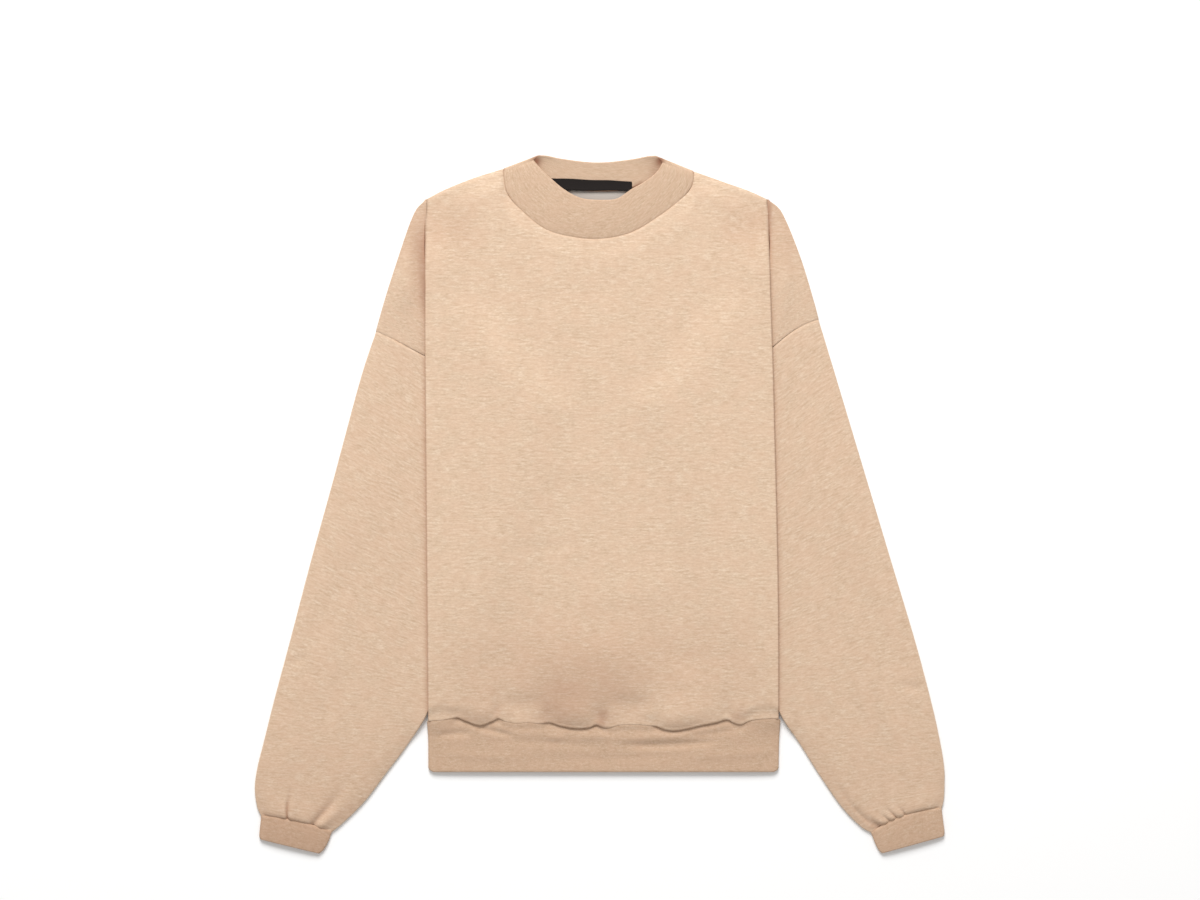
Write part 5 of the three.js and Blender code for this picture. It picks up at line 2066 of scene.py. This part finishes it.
class ClothEffects:
    """Effects that the cloths share, each one a node group made once."""

    def __init__(self) -> None:
        """Makes all groups."""
        self.heather = self._heather()
        self.stitches = self._stitches()
        self.nap = self._nap()
        self.seam = self._seam()

    @staticmethod
    def _heather() -> bpy.types.NodeTree:
        """Light and dark yarn streaks, and slow changes of tone.

        Returns:
            The node group.
        """
        sockets = {"Cloth": "Vector", "Length": "Float", "Height": "Float"}
        kit, given, out = new_group(
            "heather_yarn", sockets, dict.fromkeys(("Light", "Dark", "Fine", "Cloud", "Blush"), "Float")
        )
        place, length, height = given["Cloth"], given["Length"], given["Height"]
        light = kit.noise(kit.stretched(place, length, height, 11.0), 1.0, 2.0, 0.55)
        dark = kit.noise(kit.stretched(place, length, height, 47.0), 1.0, 2.0, 0.6)
        short = kit.math("MULTIPLY", length, 0.3)
        thin = kit.math("MULTIPLY", height, 0.6)
        fine = kit.noise(kit.stretched(place, short, thin, 83.0), 1.0, 2.0, 0.6)
        wide = kit.math("MULTIPLY", length, 2.4)
        tall = kit.math("MULTIPLY", height, 8.0)
        cloud = kit.noise(kit.stretched(place, wide, tall, 5.0), 1.0, 3.0, 0.55)
        blush = kit.noise(kit.stretched(place, wide, tall, 131.0), 1.0, 2.0, 0.5)
        kit.feed(out["Light"], kit.ramp(light, 0.42, 0.72))
        kit.feed(out["Dark"], kit.ramp(dark, 0.44, 0.74))
        kit.feed(out["Fine"], fine)
        kit.feed(out["Cloud"], kit.ramp(cloud, 0.3, 0.7))
        kit.feed(out["Blush"], kit.ramp(blush, 0.34, 0.66))
        return kit.tree

    @staticmethod
    def _stitches() -> bpy.types.NodeTree:
        """Height of knitted stitches: leaning legs in columns, a little uneven.

        Returns:
            The node group.
        """
        kit, given, out = new_group(
            "knit_stitches", {"Cloth": "Vector", "Column": "Float", "Row": "Float"}, {"Height": "Float"}
        )
        parts = kit.add("ShaderNodeSeparateXYZ", {0: given["Cloth"]}).outputs
        sway = kit.noise(kit.stretched(given["Cloth"], 0.02, 0.02, 3.0), 1.0, 2.0, 0.5)
        across = kit.math("ADD", kit.math("DIVIDE", parts[0], given["Column"]), sway)
        leg = kit.math("PINGPONG", across, 0.5)
        along = kit.math("ADD", kit.math("DIVIDE", parts[1], given["Row"]), leg)
        loop = kit.math("PINGPONG", along, 0.5)
        valley = kit.math("POWER", kit.math("MULTIPLY", leg, 2.0), 0.5)
        kit.feed(out["Height"], kit.math("MULTIPLY", valley, kit.math("ADD", loop, 0.5)))
        return kit.tree

    @staticmethod
    def _nap() -> bpy.types.NodeTree:
        """Short loose fibres: a fine uneven height and specks of tone.

        Returns:
            The node group.
        """
        kit, given, out = new_group(
            "loose_nap", {"Cloth": "Vector", "Fibre": "Float"}, {"Height": "Float", "Speck": "Float"}
        )
        place = kit.stretched(given["Cloth"], given["Fibre"], given["Fibre"], 21.0)
        height = kit.noise(place, 1.0, 4.0, 0.65)
        coarse = kit.stretched(given["Cloth"], given["Fibre"], given["Fibre"], 65.0)
        speck = kit.noise(coarse, 0.6, 3.0, 0.6)
        kit.feed(out["Height"], height)
        kit.feed(out["Speck"], kit.ramp(speck, 0.35, 0.68))
        return kit.tree

    @staticmethod
    def _seam() -> bpy.types.NodeTree:
        """Mask that is 1 at a piece's edge and 0 beyond its reach.

        Returns:
            The node group.
        """
        inputs = {"Distance": "Float", "Reach": "Float"}
        kit, given, out = new_group("seam_shade", inputs, {"Mask": "Float"})
        share = kit.math("DIVIDE", given["Distance"], given["Reach"])
        kit.feed(out["Mask"], kit.ramp(share, 1.0, 0.0))
        return kit.tree


def linear(red: int, green: int, blue: int) -> tuple[float, float, float, float]:
    """Shader colour of a screen colour from 0 to 255.

    Args:
        red: Red.
        green: Green.
        blue: Blue.

    Returns:
        Red, green, blue and alpha.
    """
    parts = np.array([red, green, blue]) / 255
    curve = np.where(parts <= 0.04045, parts / 12.92, ((parts + 0.055) / 1.055) ** 2.4)
    return (*(float(part) for part in curve), 1.0)


@dataclass(frozen=True)
class KnitFinish:
    """A heather knit with its face, its brushed inside and its stitches.

    Attributes:
        name: Name of the material.
        knit: The cloth. It is not used.
        effects: The shared effects.
        face: Mean colour of the face.
        light: Colour of the pale yarn.
        dark: Colour of the dark yarn.
        blush: Colour that slow changes of tone lean towards.
        inside: Colour of the cloth's inside, where it differs.
        streak: Length and height of a yarn streak, in millimetres.
        stitch: Width and height of a stitch, in millimetres.
        bump: Depth of the relief, in millimetres.
        seam_tone: How much painted shade darkens the cloth along its seams and edges.
    """

    name: str
    knit: Knit
    effects: ClothEffects
    face: tuple[int, int, int]
    light: tuple[int, int, int]
    dark: tuple[int, int, int]
    blush: tuple[int, int, int]
    inside: tuple[int, int, int] | None = None
    streak: tuple[float, float] = (10.5, 2.3)
    stitch: tuple[float, float] = (1.15, 0.95)
    bump: float = 0.35
    seam_tone: float = 0.07
    _made: dict[str, bpy.types.Material] = field(default_factory=dict)

    # Tone of the shade in folds, as shares of the dark yarn's red, green and blue
    DEEP = (0.77, 0.60, 0.545)
    INSIDE_TONE = 0.9
    INSIDE_RANGE = (0.55, 0.8)
    FINE_RANGE = (0.62, 0.35)
    SPECK_SHARE = 0.10
    LIGHT_SHARE = 0.75
    DARK_SHARE = 0.65
    FINE_SHARE = 0.4
    CLOUD_SHARE = 0.16
    BLUSH_SHARE = 0.3
    FIBRE = 0.55
    SEAM_REACH = 1.6

    def dress(self, piece: bpy.types.Object) -> None:
        """Gives a piece the cloth's material.

        Args:
            piece: The piece.
        """
        if self.name not in self._made:
            self._made[self.name] = self._material()
        piece.data.materials.append(self._made[self.name])

    def _material(self) -> bpy.types.Material:
        """Makes the material.

        Returns:
            The material.
        """
        material = bpy.data.materials.new(self.name)
        material.use_nodes = True
        kit = NodeKit(material.node_tree)
        shader = material.node_tree.nodes["Principled BSDF"]
        cloth = kit.attribute("cloth", "Vector")
        length, height = (part * MM for part in self.streak)
        column, row = (part * MM for part in self.stitch)
        yarn = kit.group(self.effects.heather, Cloth=cloth, Length=length, Height=height)
        loops = kit.group(self.effects.stitches, Cloth=cloth, Column=column, Row=row)
        nap = kit.group(self.effects.nap, Cloth=cloth, Fibre=self.FIBRE * MM)
        seam = kit.group(self.effects.seam, Distance=kit.attribute("seam"), Reach=self.SEAM_REACH * MM)

        dark = kit.math("MULTIPLY", yarn["Dark"], self.DARK_SHARE)
        light = kit.math("MULTIPLY", yarn["Light"], self.LIGHT_SHARE)
        colour = kit.blend(dark, linear(*self.face), linear(*self.dark))
        colour = kit.blend(light, colour, linear(*self.light))
        fine = kit.math("MULTIPLY", kit.ramp(yarn["Fine"], *self.FINE_RANGE), self.FINE_SHARE)
        colour = kit.blend(fine, colour, linear(*self.dark))
        cloud = kit.math("MULTIPLY", yarn["Cloud"], self.CLOUD_SHARE)
        colour = kit.blend(cloud, colour, linear(*self.dark))
        blush = kit.math("MULTIPLY", yarn["Blush"], self.BLUSH_SHARE)
        colour = kit.blend(blush, colour, linear(*self.blush))
        speck = kit.math("MULTIPLY", nap["Speck"], self.SPECK_SHARE)
        colour = kit.blend(speck, colour, linear(*self.light))
        if self.inside:
            dim = linear(*(round(part * self.INSIDE_TONE) for part in self.inside))
            back = kit.blend(speck, linear(*self.inside), dim)
            colour = kit.blend(kit.ramp(kit.attribute("inside"), *self.INSIDE_RANGE), colour, back)
        # Painted shade: the seam mask and the mesh's shade attribute darken the colour towards the shade
        # colour below
        shade = kit.math("MULTIPLY", seam["Mask"], self.seam_tone)
        shade = kit.math("MAXIMUM", shade, kit.attribute("hollow"))
        deep = linear(*(round(part * tone) for part, tone in zip(self.dark, self.DEEP)))
        colour = kit.blend(shade, colour, deep)
        kit.feed(shader.inputs["Base Color"], colour)

        rough = kit.math("SUBTRACT", 0.97, kit.math("MULTIPLY", nap["Speck"], 0.08))
        kit.feed(shader.inputs["Roughness"], rough)
        relief = kit.math("MULTIPLY", loops["Height"], 0.55)
        relief = kit.math("ADD", relief, kit.math("MULTIPLY", nap["Height"], 0.45))
        relief = kit.math("ADD", relief, kit.math("MULTIPLY", yarn["Fine"], 0.4))
        bump = kit.add("ShaderNodeBump", {"Height": relief})
        bump.inputs["Strength"].default_value = 0.6
        bump.inputs["Distance"].default_value = self.bump * MM
        kit.feed(shader.inputs["Normal"], bump.outputs["Normal"])
        shader.inputs["Specular IOR Level"].default_value = 0.25
        shader.inputs["Sheen Weight"].default_value = 0.12
        shader.inputs["Sheen Roughness"].default_value = 0.55
        shader.inputs["Sheen Tint"].default_value = linear(*self.light)
        return material


@dataclass(frozen=True)
class TwillFinish:
    """A near black woven tape.

    Attributes:
        effects: The shared effects.
        warp: Colour of the threads along the tape.
        weft: Colour of the threads across it.
        speck: Colour of its loose fibres.
        edge: Colour at its edges.
    """

    effects: ClothEffects
    warp: tuple[int, int, int] = (31, 25, 23)
    weft: tuple[int, int, int] = (20, 16, 15)
    speck: tuple[int, int, int] = (46, 39, 36)
    edge: tuple[int, int, int] = (13, 11, 10)

    THREAD = 0.7
    LEAN = 0.5
    FIBRE = 0.5
    EDGE_REACH = 0.9

    def dress(self, piece: bpy.types.Object) -> None:
        """Gives the tape its material.

        Args:
            piece: The tape.
        """
        material = bpy.data.materials.new("neck_tape_twill")
        material.use_nodes = True
        kit = NodeKit(material.node_tree)
        shader = material.node_tree.nodes["Principled BSDF"]
        cloth = kit.attribute("cloth", "Vector")
        parts = kit.add("ShaderNodeSeparateXYZ", {0: cloth}).outputs
        lean = kit.math("ADD", parts[0], kit.math("MULTIPLY", parts[1], self.LEAN))
        rib = kit.math("PINGPONG", kit.math("DIVIDE", lean, self.THREAD * MM), 0.5)
        nap = kit.group(self.effects.nap, Cloth=cloth, Fibre=self.FIBRE * MM)
        seam = kit.group(self.effects.seam, Distance=kit.attribute("seam"), Reach=self.EDGE_REACH * MM)
        colour = kit.blend(kit.math("MULTIPLY", rib, 2.0), linear(*self.weft), linear(*self.warp))
        colour = kit.blend(kit.math("MULTIPLY", nap["Speck"], 0.25), colour, linear(*self.speck))
        colour = kit.blend(kit.math("MULTIPLY", seam["Mask"], 0.4), colour, linear(*self.edge))
        kit.feed(shader.inputs["Base Color"], colour)
        relief = kit.math("ADD", rib, kit.math("MULTIPLY", nap["Height"], 0.4))
        bump = kit.add("ShaderNodeBump", {"Height": relief})
        bump.inputs["Strength"].default_value = 0.6
        bump.inputs["Distance"].default_value = 0.2 * MM
        kit.feed(shader.inputs["Normal"], bump.outputs["Normal"])
        kit.feed(shader.inputs["Roughness"], kit.math("ADD", kit.math("MULTIPLY", rib, 0.2), 0.7))
        shader.inputs["Specular IOR Level"].default_value = 0.15
        shader.inputs["Sheen Weight"].default_value = 0.04
        piece.data.materials.append(material)


@dataclass(frozen=True)
class Studio:
    """The plain pale floor, the soft light and the camera, straight above as in the picture.

    Attributes:
        place: Where the drawing lies in the frame.
    """

    place: Place

    PIXEL = 1.13
    FRAME_WIDTH = 1200
    FRAME_CENTRE = (0.5, 53.5)
    CAMERA_HEIGHT = 4.0
    CLOTH_HEIGHT = 0.006
    SENSOR = 36.0
    FLOOR_SIZE = 14.0
    FLOOR_DROP = 0.0004

    def build(self) -> None:
        """Makes the floor, the lights, the world and the camera."""
        self._floor()
        self._lights()
        self._camera()

    def _floor(self) -> None:
        """A pale matt floor just below the garment."""
        half = self.FLOOR_SIZE / 2
        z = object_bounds()[0].z - self.FLOOR_DROP
        corners = np.array([(-half, -half, z), (half, -half, z), (half, half, z), (-half, half, z)])
        floor = _mesh_object("floor", corners, np.array([[0, 1, 2, 3]]))
        material = bpy.data.materials.new("pale_floor")
        material.use_nodes = True
        shader = material.node_tree.nodes["Principled BSDF"]
        shader.inputs["Base Color"].default_value = (0.98, 0.98, 0.98, 1.0)
        shader.inputs["Roughness"].default_value = 0.9
        shader.inputs["Specular IOR Level"].default_value = 0.1
        floor.data.materials.append(material)
        floor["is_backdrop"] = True

    @staticmethod
    def _lights() -> None:
        """A pale world and two soft lamps, the stronger one beyond the neck."""
        world = bpy.data.worlds.new("studio")
        world.use_nodes = True
        background = world.node_tree.nodes["Background"]
        background.inputs["Color"].default_value = (1.0, 0.99, 0.975, 1.0)
        background.inputs["Strength"].default_value = 0.5
        bpy.context.scene.world = world
        for name, spot, size, energy in (
            ("neck_lamp", (-0.5, 4.3, 3.3), 3.0, 312.0),
            ("hem_lamp", (0.6, -2.4, 3.2), 2.4, 5.0),
        ):
            data = bpy.data.lights.new(name, "AREA")
            data.shape = "DISK"
            data.size = size
            data.energy = energy
            lamp = bpy.data.objects.new(name, data)
            lamp.location = spot
            lamp.rotation_euler = (-Vector(spot)).to_track_quat("-Z", "Y").to_euler()
            bpy.context.scene.collection.objects.link(lamp)

    def _camera(self) -> None:
        """A camera straight above, whose frame holds the drawing as the picture does."""
        data = bpy.data.cameras.new("camera")
        width = self.PIXEL * MM * self.FRAME_WIDTH
        data.sensor_width = self.SENSOR
        data.lens = self.SENSOR * (self.CAMERA_HEIGHT - self.CLOTH_HEIGHT) / width
        camera = bpy.data.objects.new("camera", data)
        x, y = (self.place.shift[:2] + np.array(self.FRAME_CENTRE) * self.PIXEL) * MM
        camera.location = (x, y, self.CAMERA_HEIGHT)
        bpy.context.scene.collection.objects.link(camera)
        bpy.context.scene.camera = camera


class Sweatshirt:
    """The whole garment, in the order that its pieces are sewn on."""

    # Size of each cut piece, its width and length and its area, in metres
    CUTS = {
        "front_panel_cloth": (0.945, 0.634, 0.311),
        "back_panel_cloth": (0.945, 0.625, 0.319),
        "sleeve_left_cloth": (0.375, 0.544, 0.181),
        "sleeve_right_cloth": (0.351, 0.549, 0.177),
        "cuff_left_rib": (0.169, 0.028, 0.0046),
        "cuff_right_rib": (0.169, 0.031, 0.0052),
        "hem_band_rib": (0.790, 0.0585, 0.046),
        "collar_rib": (0.510, 0.0484, 0.0165),
        "neck_tape_twill": (0.097, 0.0139, 0.0013),
    }

    def __init__(self) -> None:
        """Prepares the place and the finishes."""
        effects = ClothEffects()
        place = Place.from_tape()
        self.place = place
        self.fleece = KnitFinish(
            "heather_fleece", Knit.FLEECE, effects,
            face=(220, 193, 166), light=(237, 216, 193), dark=(193, 162, 134), blush=(221, 186, 159),
            inside=(187, 178, 170),
        )
        self.rib = KnitFinish(
            "heather_rib", Knit.RIB, effects,
            face=(209, 180, 153), light=(223, 198, 174), dark=(183, 151, 123), blush=(210, 176, 150),
            streak=(6.5, 2.2), stitch=(1.5, 0.9), bump=0.4,
        )
        self.tape = TwillFinish(effects)

    def build(self) -> None:
        """Makes, dresses and attaches every piece."""
        body = Body(self.place, self.fleece)
        pieces = body.build()
        pieces += [Sleeve(self.place, self.fleece, side).build() for side in Side]
        pieces += [Cuff(self.place, self.rib, side).build() for side in Side]
        pieces.append(HemBand(self.place, self.rib, body).build())
        pieces.append(Collar(self.place, self.rib).build())
        pieces.append(NeckTape(self.place, self.tape).build())
        for piece in pieces:
            self._declare(piece)

    def _declare(self, piece: bpy.types.Object) -> None:
        """Attaches a piece to the body it rides on, hides the solid it stands for and logs its faces.

        Args:
            piece: The piece.
        """
        node = piece.name.rsplit("_", 1)[0]
        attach(piece, "root")
        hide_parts(node)
        log.info("%s: %d faces", piece.name, len(piece.data.polygons))


def main() -> None:
    """Builds the studio and the garment."""
    logging.basicConfig(level=logging.INFO, format="%(name)s: %(message)s")
    bpy.context.scene.view_settings.view_transform = "Standard"
    garment = Sweatshirt()
    Studio(garment.place).build()
    garment.build()


if __name__ == "__main__":
    main()
